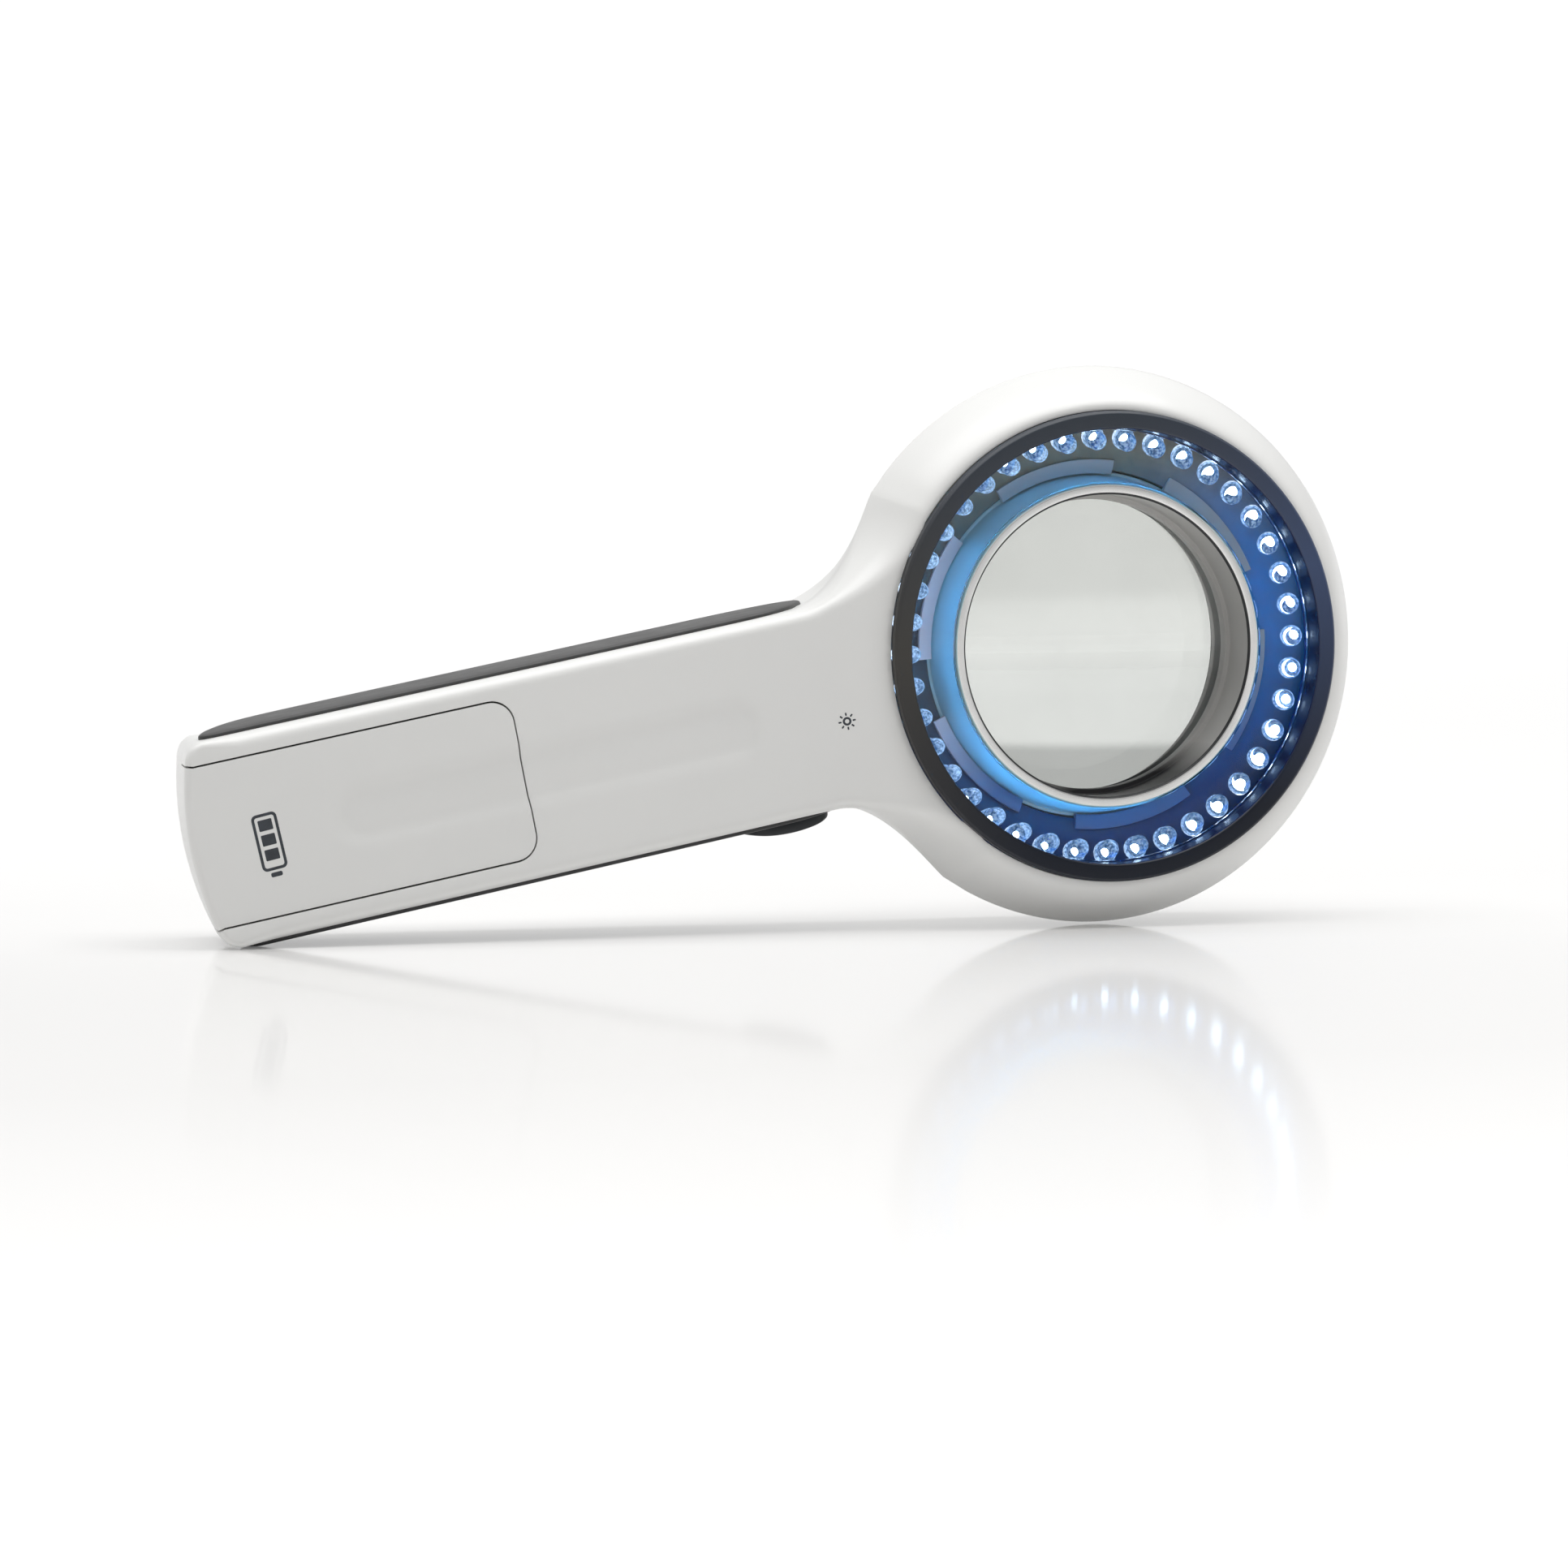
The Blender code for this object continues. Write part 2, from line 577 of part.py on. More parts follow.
# ---- head: bezel, filters, barrel, lens ----

turned("front_bezel", [(37.25, -13.05), (37.25, -14.5), (36.8, -15.0), (34.7, -15.0), (34.4, -14.7),
                       (34.4, -8.3), (35.2, -8.3), (35.2, -13.05)], BLACK)
turned("polariser_ring", [(26.0, -10.6), (34.2, -10.6), (34.2, -9.95), (26.0, -9.95)], CLEAR)
# The barrel in front of the lens ends in the lip the lens sits behind; the flanged cell behind it holds the lens.
turned("lens_barrel", [(24.5, -10.6), (25.6, -10.6), (27.4, -2.6), (27.9, -2.6), (27.9, -0.6), (23.2, -0.6),
                       (23.2, -2.7), (24.0, -2.7), (24.0, -10.1)], SILVER, segments=56)
turned("lens_cell", [(25.3, -0.3), (27.9, -0.3), (27.9, 1.4), (33.0, 1.4), (33.0, 2.8), (27.9, 2.8),
                     (27.9, 10.4), (26.7, 10.4), (26.7, 7.5), (25.3, 7.5)], SILVER, segments=56)


def dome_profile(edge_radius, sag, front_edge, rear_edge, steps):
    """A lens with two equally curved faces, as (radius, y) from the front pole to the rear pole."""
    reach = [edge_radius * k / steps for k in range(steps + 1)]
    front = [(r, front_edge - sag * (1.0 - (r / edge_radius) ** 2)) for r in reach]
    rear = [(r, rear_edge + sag * (1.0 - (r / edge_radius) ** 2)) for r in reversed(reach)]
    return front + rear


turned("lens", dome_profile(25.0, 2.5, 0.6, 3.8, 4), CLEAR, segments=48)
turned("lens_retainer", [(23.3, 4.4), (25.1, 4.4), (25.1, 7.3), (23.3, 7.3)], BLACK, segments=48)
turned("analyser_filter", [(0, 7.65), (26.4, 7.65), (26.4, 8.35), (0, 8.35)], FILTER, segments=48)
turned("rear_window", [(0, 8.5), (26.4, 8.5), (26.4, 10.0), (0, 10.0)], CLEAR, segments=48)
turned("rear_bezel", [(24.0, 10.55), (28.0, 10.55), (28.0, 15.0), (26.6, 15.0), (24.0, 12.4)], BLACK)

# ---- head: diode ring, its carrier cone and its board ----


def swept(name, section, spans, steps, finish=None):
    """A (radius, depth) section carried round the lens axis over each span of angle, with flat ends."""
    section = mm(section)
    width = len(section)
    vertices, faces = [], []
    for start, end in spans:
        base = len(vertices)
        for k in range(steps + 1):
            turn = start + (end - start) * k / steps
            vertices.extend((r * math.cos(turn), y, r * math.sin(turn)) for r, y in section)
        for k in range(steps):
            for s in range(width):
                n = (s + 1) % width
                faces.append(tuple(base + v for v in (k * width + s, k * width + n, (k + 1) * width + n,
                                                      (k + 1) * width + s)))
        faces += [tuple(base + s for s in range(width)), tuple(base + steps * width + s for s in range(width))]
    return build(name, vertices, faces, finish)


carrier = turned("diode_carrier", [(28.3, -3.5), (36.6, -6.1), (36.6, -4.9), (28.3, -2.3)], CARRIER)
notch_pitch = 2.0 * math.pi / NOTCH_COUNT
pad_spans = [(NOTCH_PHASE + NOTCH_WIDTH / 2 + k * notch_pitch, NOTCH_PHASE - NOTCH_WIDTH / 2 + (k + 1) * notch_pitch)
             for k in range(NOTCH_COUNT)]
pads = swept("carrier_pads", [(27.6, -2.9), (27.6, -3.85), (29.6, -4.45), (29.6, -3.2)], pad_spans, 6)
boolean(carrier, "UNION", [pads])
turned("diode_board", [(28.3, -0.45), (36.5, -0.45), (36.5, 1.15), (28.3, 1.15)], BOARD, segments=48)


def diode_bank(number):
    """Ten clear diodes standing on one curved strip that lies on the carrier cone."""
    per_bank = DIODE_COUNT // BANKS
    pitch = 2.0 * math.pi / DIODE_COUNT
    start = math.radians(DIODE_PHASE) + (number - 1) * per_bank * pitch
    section = [(31.6, -4.7), (35.3, -5.85), (35.0, -6.7), (31.3, -5.55)]
    span = (start - 0.45 * pitch, start + (per_bank - 0.55) * pitch)
    strip = swept(f"diode_bank_{number}", section, [span], per_bank, CLEAR)
    shoulder = math.radians(50.0)
    profile = [(0.0, 4.1 * MM), (DIODE_RADIUS, 4.1 * MM), (DIODE_RADIUS, DIODE_RADIUS),
               (DIODE_RADIUS * math.cos(shoulder), DIODE_RADIUS * (1.0 - math.sin(shoulder))), (0.0, 0.0)]
    vertices, faces = [], []
    for k in range(per_bank):
        turn = start + k * pitch
        outward = Vector((math.cos(turn), 0.0, math.sin(turn)))
        tip = outward * DIODE_RING_RADIUS + Vector((0.0, DIODE_TIP_Y, 0.0))
        axis = outward * math.sin(DIODE_TILT) + Vector((0.0, math.cos(DIODE_TILT), 0.0))
        more, patch = lathe_mesh(profile, tip, axis, 8)
        faces.extend(tuple(len(vertices) + v for v in f) for f in patch)
        vertices.extend(more)
    boolean(strip, "UNION", [build(f"diodes_{number}", vertices, faces)])


for bank in range(1, BANKS + 1):
    diode_bank(bank)


# ---- cells, tray, contacts and wiring ----

tray = box("battery_tray", (-140.6, -7.6, -12.0), (-90.9, 13.35, 12.0), BLACK)
bay = box("battery_bay", (-139.5, -12.0, -10.9), (-91.9, 12.8, 10.9))
boolean(tray, "DIFFERENCE", [bay])

def coil(name, base, layer, side, heading):
    """A conical contact spring standing on a plate at x = base."""
    path = []
    for k in range(21):
        turn = 2.0 * math.pi * k / 10.0
        radius = (3.6 - 0.07 * k) * MM
        path.append((base + heading * (0.25 + 0.095 * k) * MM, layer + radius * math.cos(turn),
                     side + radius * math.sin(turn)))
    tube(name, path, 0.18 * MM, 5, NICKEL)


CELL_PLACES = [(layer, side) for layer in CELL_LAYERS for side in (-CELL_PITCH, CELL_PITCH)]
CELL_PROFILE = [(0, 0), (5.2, 0), (5.2, 43.0), (4.6, 43.4), (2.7, 43.4), (2.7, 44.4), (0, 44.4)]
for number, (layer, side) in enumerate(CELL_PLACES, start=1):
    heading = 1.0 if number in (1, 4) else -1.0
    nub_plate, spring_plate = (INNER_PLATE, OUTER_PLATE) if heading > 0 else (OUTER_PLATE, INNER_PLATE)
    start = nub_plate - heading * (CELL_LENGTH + 0.08 * MM)
    turned(f"cell_{number}", CELL_PROFILE, CELL_SLEEVE, (start / MM, layer / MM, side / MM), (heading, 0, 0), 16)
    coil(f"contact_spring_{number}", spring_plate, layer, side, heading)

box("contact_plate_outer", (OUTER_PLATE / MM - 0.3, -7.4, -10.6), (OUTER_PLATE / MM, 12.6, 10.6), NICKEL)
box("contact_plate_inner", (INNER_PLATE / MM, -7.4, -10.6), (INNER_PLATE / MM + 0.3, 12.6, 10.6), NICKEL)


def wire(name, points, finish):
    """A soft wire through a few points."""
    points = [np.array(p) * MM for p in points]
    ends = [2 * points[0] - points[1], *points, 2 * points[-1] - points[-2]]
    path = []
    for a, b, c, d in zip(ends, ends[1:], ends[2:], ends[3:]):
        for t in (0.0, 0.25, 0.5, 0.75):
            path.append(0.5 * (2 * b + (c - a) * t + (2 * a - 5 * b + 4 * c - d) * t ** 2
                               + (3 * b - a - 3 * c + d) * t ** 3))
    path.append(points[-1])
    tube(name, path, 0.5 * MM, 6, finish)


RED_WIRE = ((0.5, 0.03, 0.02), 0.45)
BLACK_WIRE = ((0.02, 0.02, 0.02), 0.45)
wire("wire_battery_positive", [(-90.3, 5.5, 4.0), (-86.0, 6.5, 3.0), (-80.0, 5.4, 4.0), (-77.0, 4.6, 4.0)], RED_WIRE)
wire("wire_battery_negative", [(-90.3, 5.5, -4.0), (-86.0, 6.5, -3.0), (-80.0, 5.4, -4.0), (-77.0, 4.6, -4.0)],
     BLACK_WIRE)
wire("wire_diode_positive", [(-53.0, 4.6, 3.0), (-48.0, 6.0, 3.5), (-42.0, 3.6, 3.5), (-37.3, 0.4, 3.0)], RED_WIRE)
wire("wire_diode_negative", [(-53.0, 4.6, -3.0), (-48.0, 6.0, -3.5), (-42.0, 3.6, -3.5), (-37.3, 0.4, -3.0)],
     BLACK_WIRE)


# ---- standing pose: the rim of the head and the lower corner of the handle share the floor ----

edge_points = np.array([v.co for v in bpy.data.objects["front_housing"].data.vertices])
grip_points = np.array([v.co for v in lower_grip.data.vertices])
handle_points = np.vstack([edge_points, grip_points])
handle_points = handle_points[handle_points[:, 0] < -100.0 * MM]
low, high = 0.0, math.radians(20.0)
for _ in range(40):
    tilt = 0.5 * (low + high)
    lowest = np.min(handle_points[:, 0] * math.sin(tilt) + handle_points[:, 2] * math.cos(tilt))
    if lowest > -HEAD_RADIUS:
        low = tilt
    else:
        high = tilt
FRAME.rotation_euler = (0.0, -tilt, 0.0)
bpy.context.view_layer.update()

shell = bpy.context.evaluated_depsgraph_get()
corners = []
for part in PARTS.objects:
    if part.type == "MESH":
        solid = part.evaluated_get(shell)
        corners.append([solid.matrix_world @ v.co for v in solid.data.vertices])
corners = np.array([tuple(v) for group in corners for v in group])
low_corner, high_corner = corners.min(axis=0), corners.max(axis=0)
FRAME.location = (-(low_corner[0] + high_corner[0]) / 2, -(low_corner[1] + high_corner[1]) / 2, -low_corner[2])
bpy.context.view_layer.update()
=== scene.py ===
"""Looks for the lighted hand magnifier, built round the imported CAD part.

Most pieces are drawn in the device's own frame, as the CAD is: x runs along the handle towards the head and is
zero on the lens axis, y is the depth (the lighted face looks along -y), and z runs across the handle. DEVICE
carries that frame to the row frame. Lengths are metres.
"""
import json
import math

import bmesh
import bpy
import numpy as np
from mathutils import Matrix, Vector, geometry


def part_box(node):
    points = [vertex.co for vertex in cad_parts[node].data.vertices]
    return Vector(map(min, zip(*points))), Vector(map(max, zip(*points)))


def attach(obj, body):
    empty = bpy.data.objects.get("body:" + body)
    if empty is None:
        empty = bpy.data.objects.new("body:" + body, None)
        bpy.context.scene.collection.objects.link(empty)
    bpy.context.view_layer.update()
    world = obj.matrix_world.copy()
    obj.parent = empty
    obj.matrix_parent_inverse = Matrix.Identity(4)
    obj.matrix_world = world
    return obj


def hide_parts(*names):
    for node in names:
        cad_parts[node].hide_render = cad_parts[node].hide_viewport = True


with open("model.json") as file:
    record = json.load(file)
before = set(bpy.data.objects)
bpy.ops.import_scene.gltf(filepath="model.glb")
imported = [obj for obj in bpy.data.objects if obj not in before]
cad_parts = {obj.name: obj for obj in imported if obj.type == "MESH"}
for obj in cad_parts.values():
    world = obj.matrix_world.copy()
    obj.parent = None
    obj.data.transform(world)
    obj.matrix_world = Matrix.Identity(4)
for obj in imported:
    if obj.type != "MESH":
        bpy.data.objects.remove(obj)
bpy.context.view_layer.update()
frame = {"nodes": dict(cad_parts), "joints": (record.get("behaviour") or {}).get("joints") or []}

MM = 0.001
AXIS_Y = (0.0, 1.0, 0.0)

door_axis = next(j["axis"] for j in frame["joints"] if j["name"] == "battery_door_slide")
TILT = math.atan2(-door_axis[2], -door_axis[0])
bezel_low, bezel_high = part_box("front_bezel")
HEAD = Vector(((bezel_low.x + bezel_high.x) / 2, bezel_low.y + 15 * MM, (bezel_low.z + bezel_high.z) / 2))
DEVICE = Matrix.Translation(HEAD) @ Matrix.Rotation(-TILT, 4, "Y")

# Body plan, as in the CAD, a few hundredths inside its faceted outline
HEAD_RADIUS = 44.47 * MM
HANDLE_HALF_WIDTH = 16.0 * MM
HANDLE_END = -151.285 * MM
END_ARC_RADIUS = 50.0 * MM
CORNER_RADIUS = 3.5 * MM
NECK_START = -48.6 * MM
NECK_END = (-31.8 * MM, 31.1 * MM)
END_SLANT = 0.13
DOME_LEAN = 0.64
DOME_Y = -13.0 * MM
HANDLE_FACE_Y = -11.0 * MM
PARTING_Y = -3.0 * MM
REAR_Y = 15.0 * MM
SKIN = 1.0 * MM
BEZEL_HOLE = 37.35 * MM

# Battery door, grips and button
DOOR_EDGE = -98.1 * MM
DOOR_HALF_WIDTH = 12.37 * MM
HOLE_HALF_WIDTH = 12.66 * MM
DOOR_CORNER = 3.5 * MM
BUTTON_CENTRE = -55.25 * MM
BUTTON_DEPTH_CENTRE = -0.5 * MM

# Diode ring
DIODE_COUNT = 40
DIODE_PHASE = math.radians(-0.31)
DIODE_RING_RADIUS = 32.0 * MM
DIODE_TIP_Y = -9.6 * MM
DIODE_TILT = math.radians(17.0)


def mm(values):
    return np.array(values, dtype=float) * MM


def smoothstep(value, low, high):
    t = np.clip((value - low) / (high - low), 0.0, 1.0)
    return t * t * (3.0 - 2.0 * t)


# ---- materials ----

class Surface:
    """A Principled material with a few procedural helpers; every pattern runs on the device's own coordinates."""

    def __init__(self, name, color, roughness, **sockets):
        self.material = bpy.data.materials.new(name)
        self.material.use_nodes = True
        self.tree = self.material.node_tree
        self.shader = self.tree.nodes["Principled BSDF"]
        self.color = color
        self.roughness = roughness
        self.shader.inputs["Base Color"].default_value = (*color, 1.0)
        self.shader.inputs["Roughness"].default_value = roughness
        for socket, value in sockets.items():
            self.shader.inputs[socket.replace("_", " ")].default_value = value
        self.coords = self.tree.nodes.new("ShaderNodeTexCoord").outputs["Object"]
        if name != "stage":
            self.coords = self.node("Mapping", {"vector_type": "TEXTURE"}, Vector=self.coords, Location=HEAD,
                                    Rotation=(0.0, -TILT, 0.0)).outputs[0]
        self.height = None

    def node(self, kind, settings=(), **links):
        made = self.tree.nodes.new("ShaderNode" + kind)
        for key, value in dict(settings).items():
            setattr(made, key, value)
        for socket, value in links.items():
            target = made.inputs[int(socket[1:]) if socket[1:].isdigit() else socket.replace("_", " ")]
            if isinstance(value, bpy.types.NodeSocket):
                self.tree.links.new(value, target)
            else:
                target.default_value = value
        return made

    def math(self, operation, a, b=0.0, c=0.0):
        return self.node("Math", {"operation": operation}, _0=a, _1=b, _2=c).outputs[0]

    def split(self, vector=None):
        parts = self.node("SeparateXYZ", Vector=vector or self.coords)
        return parts.outputs[0], parts.outputs[1], parts.outputs[2]

    def around(self):
        """Radius and depth about the lens axis, as a vector for turned surfaces."""
        x, y, z = self.split()
        radius = self.math("SQRT", self.math("ADD", self.math("MULTIPLY", x, x), self.math("MULTIPLY", z, z)))
        return radius, self.node("CombineXYZ", X=radius, Y=y, Z=0.0).outputs[0]

    def noise(self, scale, detail=3.0, vector=None, stretch=None, rough=0.5):
        vector = vector or self.coords
        if stretch:
            vector = self.node("Mapping", Vector=vector, Scale=stretch).outputs[0]
        return self.node("TexNoise", Vector=vector, Scale=scale, Detail=detail, Roughness=rough).outputs["Fac"]

    def span(self, value, low, high, start=0.3, end=0.7):
        return self.node("MapRange", Value=value, From_Min=start, From_Max=end, To_Min=low, To_Max=high).outputs[0]

    def mix(self, share, a, b):
        made = self.node("Mix", {"data_type": "RGBA"})
        for socket, value in ((0, share), (6, a), (7, b)):
            if isinstance(value, bpy.types.NodeSocket):
                self.tree.links.new(value, made.inputs[socket])
            else:
                made.inputs[socket].default_value = value if socket == 0 else (*value, 1.0)
        return made.outputs[2]

    def paint(self, color):
        self.tree.links.new(color, self.shader.inputs["Base Color"])

    def mottle(self, amount, scale, other=None):
        """Slow colour drift between the colour made darker and lighter, or towards another colour."""
        dark = tuple(c * (1.0 - amount) for c in self.color)
        light = other or tuple(min(c * (1.0 + amount), 1.0) for c in self.color)
        self.paint(self.mix(self.span(self.noise(scale, 4.0), 0.0, 1.0), dark, light))
        return self

    def polish(self, drift, scale, stretch=None):
        """Roughness that drifts either side of its value."""
        value = self.span(self.noise(scale, 4.0, stretch=stretch), self.roughness - drift, self.roughness + drift)
        self.tree.links.new(value, self.shader.inputs["Roughness"])
        return self

    def bump(self, height, depth, strength=1.0):
        made = self.node("Bump", Height=height, Distance=depth, Strength=strength)
        if self.height:
            self.tree.links.new(self.height, made.inputs["Normal"])
        self.height = made.outputs[0]
        self.tree.links.new(self.height, self.shader.inputs["Normal"])
        return self

    def grain(self, scale, depth, strength=1.0, stretch=None, detail=3.0):
        return self.bump(self.noise(scale, detail, stretch=stretch), depth, strength)


def moulded(name, color, roughness, depth=0.012 * MM, **sockets):
    """Injection-moulded plastic: a fine spark-eroded grain, faint flow marks and handling polish."""
    made = Surface(name, color, roughness, **sockets)
    made.mottle(0.012, 30.0).polish(0.025, 90.0)
    return made.grain(4200.0, depth, 0.35).grain(25.0, 0.02 * MM, 0.06)


def turned_metal(name, color, roughness, depth=0.004 * MM):
    """Metal with fine lathe lines that run round the lens axis."""
    made = Surface(name, color, roughness, Metallic=1.0)
    made.mottle(0.06, 160.0)
    _, ring = made.around()
    lines = made.noise(5200.0, 2.0, ring)
    made.tree.links.new(made.span(lines, roughness - 0.06, roughness + 0.08), made.shader.inputs["Roughness"])
    return made.bump(lines, depth, 0.5)


def clear(name, color, roughness=0.01, ior=1.49, **sockets):
    """Clear plastic or glass with a trace of haze."""
    made = Surface(name, color, roughness, Transmission_Weight=1.0, IOR=ior, **sockets)
    return made.mottle(0.012, 60.0).polish(min(roughness * 0.6, 0.01), 300.0)


WHITE = moulded("white_shell", (0.80, 0.80, 0.785), 0.30, 0.006 * MM)
DOOR_WHITE = moulded("white_door", (0.79, 0.79, 0.775), 0.31, 0.006 * MM)
# A near-black material used as painted shadow in the door's seam
SEAM_SHADE = moulded("seam_shade", (0.05, 0.05, 0.045), 0.6, 0.008 * MM)

GRIP = Surface("grip_rubber", (0.05, 0.05, 0.05), 0.5, Sheen_Weight=0.12, Sheen_Roughness=0.4)
GRIP.mottle(0.14, 90.0).polish(0.06, 240.0).grain(2600.0, 0.03 * MM, 0.6).grain(140.0, 0.04 * MM, 0.15)

# Painted shade: a darker copy of the grip rubber, for the lower grip that sits in shade
SHADED_GRIP = Surface("grip_rubber_painted_shade", (0.02, 0.02, 0.021), 0.5, Sheen_Weight=0.06, Sheen_Roughness=0.4)
SHADED_GRIP.mottle(0.14, 90.0).polish(0.06, 240.0).grain(2600.0, 0.03 * MM, 0.6)

BUTTON = Surface("button_rubber", (0.008, 0.011, 0.014), 0.42, Sheen_Weight=0.03)
BUTTON.mottle(0.12, 200.0).polish(0.05, 400.0).grain(3000.0, 0.02 * MM, 0.5)

BEZEL = Surface("bezel_black", (0.016, 0.017, 0.02), 0.3, Specular_IOR_Level=0.35)
BEZEL.grain(3600.0, 0.012 * MM, 0.6)
radius, _ = BEZEL.around()
x, _, z = BEZEL.split()
# Painted light and shade on the black bezel: a painted blue diode glow towards +x, painted warm grey light towards
# -x, painted shade towards the bottom and a lighter painted top
painted_light_tint = BEZEL.mix(BEZEL.span(x, 0.0, 1.0, -30 * MM, 34 * MM), (0.05, 0.047, 0.042), (0.045, 0.07, 0.15))
painted_light_tint = BEZEL.mix(BEZEL.span(z, 0.0, 1.0, -30 * MM, 6 * MM), (0.002, 0.005, 0.014), painted_light_tint)
painted_light_tint = BEZEL.mix(BEZEL.span(z, 0.0, 1.0, 6 * MM, 36 * MM), painted_light_tint, (0.034, 0.042, 0.055))
# Painted diode glow: the inner wall, inside 34.6 mm radius, is painted dark blue
BEZEL.paint(BEZEL.mix(BEZEL.span(radius, 0.0, 1.0, 34.42 * MM, 34.6 * MM), (0.008, 0.011, 0.05), painted_light_tint))
gloss = BEZEL.span(radius, 0.26, 0.42, 34.45 * MM, 34.65 * MM)
drift = BEZEL.math("MULTIPLY", BEZEL.math("SUBTRACT", BEZEL.noise(260.0), 0.5), 0.12)
BEZEL.tree.links.new(BEZEL.math("ADD", gloss, drift), BEZEL.shader.inputs["Roughness"])

LIP = turned_metal("barrel_lip", (0.86, 0.86, 0.85), 0.3)
BARREL = moulded("barrel_wall", (0.52, 0.76, 0.80), 0.3, 0.006 * MM)
_, ring = BARREL.around()
BARREL.bump(BARREL.noise(2600.0, 2.0, ring), 0.03 * MM, 0.5)
BORE = moulded("barrel_bore", (0.36, 0.355, 0.34), 0.35, 0.006 * MM)
# Painted shade: the bore is painted near black towards the bottom, below z = -19 mm
_, _, z = BORE.split()
BORE.paint(BORE.mix(BORE.span(z, 0.0, 1.0, -22.5 * MM, -19.0 * MM), (0.012, 0.012, 0.014), (0.46, 0.455, 0.44)))
FLANGE = moulded("flange_grey", (0.42, 0.44, 0.48), 0.3, 0.008 * MM)
x, _, z = FLANGE.split()
# Painted light on the flange: a pale pink painted reflection of the white surroundings towards -x, and darker painted
# blue shade towards the bottom
painted_light_tint = FLANGE.mix(FLANGE.span(x, 0.0, 1.0, -28 * MM, -10 * MM), (0.97, 0.84, 0.84), (0.42, 0.40, 0.38))
FLANGE.paint(FLANGE.mix(FLANGE.span(z, 0.0, 1.0, -20 * MM, -4 * MM), (0.10, 0.16, 0.30), painted_light_tint))
CARRIER = moulded("carrier_dark", (0.075, 0.08, 0.085), 0.25, 0.008 * MM)
x, _, z = CARRIER.split()
# Painted light on the well floor: a painted blue diode glow towards +x, painted navy shade towards the bottom and
# painted olive-grey light towards the top; the noise mixed in last is the floor's own mottle
painted_light_tint = CARRIER.mix(CARRIER.span(x, 0.0, 1.0, -20 * MM, 26 * MM), (0.10, 0.09, 0.09), (0.0, 0.20, 0.50))
painted_light_tint = CARRIER.mix(CARRIER.span(z, 0.0, 1.0, -26 * MM, -4 * MM), (0.0, 0.045, 0.15), painted_light_tint)
painted_light_tint = CARRIER.mix(CARRIER.span(z, 0.0, 1.0, 10 * MM, 28 * MM), painted_light_tint, (0.27, 0.22, 0.14))
CARRIER.paint(CARRIER.mix(CARRIER.span(CARRIER.noise(900.0), 0.0, 0.2), painted_light_tint, (0.03, 0.06, 0.09)))
BLACK = moulded("inner_black", (0.02, 0.021, 0.023), 0.45)

EPOXY = clear("diode_epoxy", (0.86, 0.93, 1.0), 0.03, 1.52)
speckle = EPOXY.noise(2600.0, 2.0)
EPOXY.tree.links.new(EPOXY.mix(EPOXY.span(speckle, 0.0, 1.0, 0.42, 0.62), (0.02, 0.09, 0.22), (0.42, 0.66, 1.0)),
                     EPOXY.shader.inputs["Emission Color"])
EPOXY.shader.inputs["Emission Strength"].default_value = 0.6
EPOXY.bump(speckle, 0.02 * MM, 0.25)
CUP = Surface("diode_cup", (0.14, 0.36, 0.75), 0.34, Metallic=1.0).mottle(0.05, 900.0).polish(0.04, 2000.0)
DIE = Surface("diode_glow", (0.9, 0.95, 1.0), 0.5, Emission_Strength=8.0)
DIE.mottle(0.03, 1500.0).polish(0.05, 1500.0)
DIE.tree.links.new(DIE.mix(DIE.span(DIE.noise(900.0), 0.0, 1.0), (0.50, 0.74, 1.0), (0.72, 0.88, 1.0)),
                   DIE.shader.inputs["Emission Color"])

LENS = clear("lens_glass", (0.97, 0.98, 0.975), 0.0, 1.5)
SHEET = clear("polariser_sheet", (0.93, 0.95, 0.98), 0.005, 1.22)
ANALYSER = clear("analyser_grey", (0.79, 0.795, 0.775), 0.0, 1.46)
WINDOW = clear("window_glass", (0.97, 0.98, 0.975), 0.0, 1.46)

NICKEL = Surface("nickel", (0.70, 0.69, 0.66), 0.26, Metallic=1.0).mottle(0.08, 500.0)
NICKEL.polish(0.08, 900.0, (1.0, 1.0, 6.0)).grain(2400.0, 0.006 * MM, 0.5, (1.0, 1.0, 8.0))
TIN = Surface("tinned_can", (0.60, 0.60, 0.58), 0.34, Metallic=1.0).mottle(0.1, 700.0).polish(0.1, 1400.0)
TIN.grain(1800.0, 0.01 * MM, 0.4)

BOARD = Surface("board_green", (0.02, 0.12, 0.055), 0.32, Coat_Weight=0.3)
traces = BOARD.node("TexBrick", {"offset": 0.5}, Vector=BOARD.coords, Scale=260.0, Mortar_Size=0.03)
BOARD.paint(BOARD.mix(BOARD.span(traces.outputs["Fac"], 0.0, 1.0, 0.0, 1.0), (0.02, 0.12, 0.055), (0.05, 0.2, 0.09)))
BOARD.polish(0.06, 500.0).bump(traces.outputs["Fac"], 0.03 * MM, 0.6).grain(2200.0, 0.008 * MM, 0.5)

CHIP = moulded("chip_black", (0.025, 0.025, 0.027), 0.55, 0.02 * MM)
FERRITE = moulded("ferrite", (0.06, 0.06, 0.065), 0.6, 0.04 * MM)
PLUNGER = moulded("plunger_orange", (0.55, 0.2, 0.06), 0.45)
RED_WIRE = moulded("wire_red", (0.42, 0.025, 0.02), 0.4)
BLACK_WIRE = moulded("wire_black", (0.02, 0.02, 0.02), 0.4)
INK = Surface("printed_ink", (0.035, 0.042, 0.052), 0.5).mottle(0.2, 600.0).polish(0.08, 900.0)
INK.grain(3000.0, 0.01 * MM, 0.4)


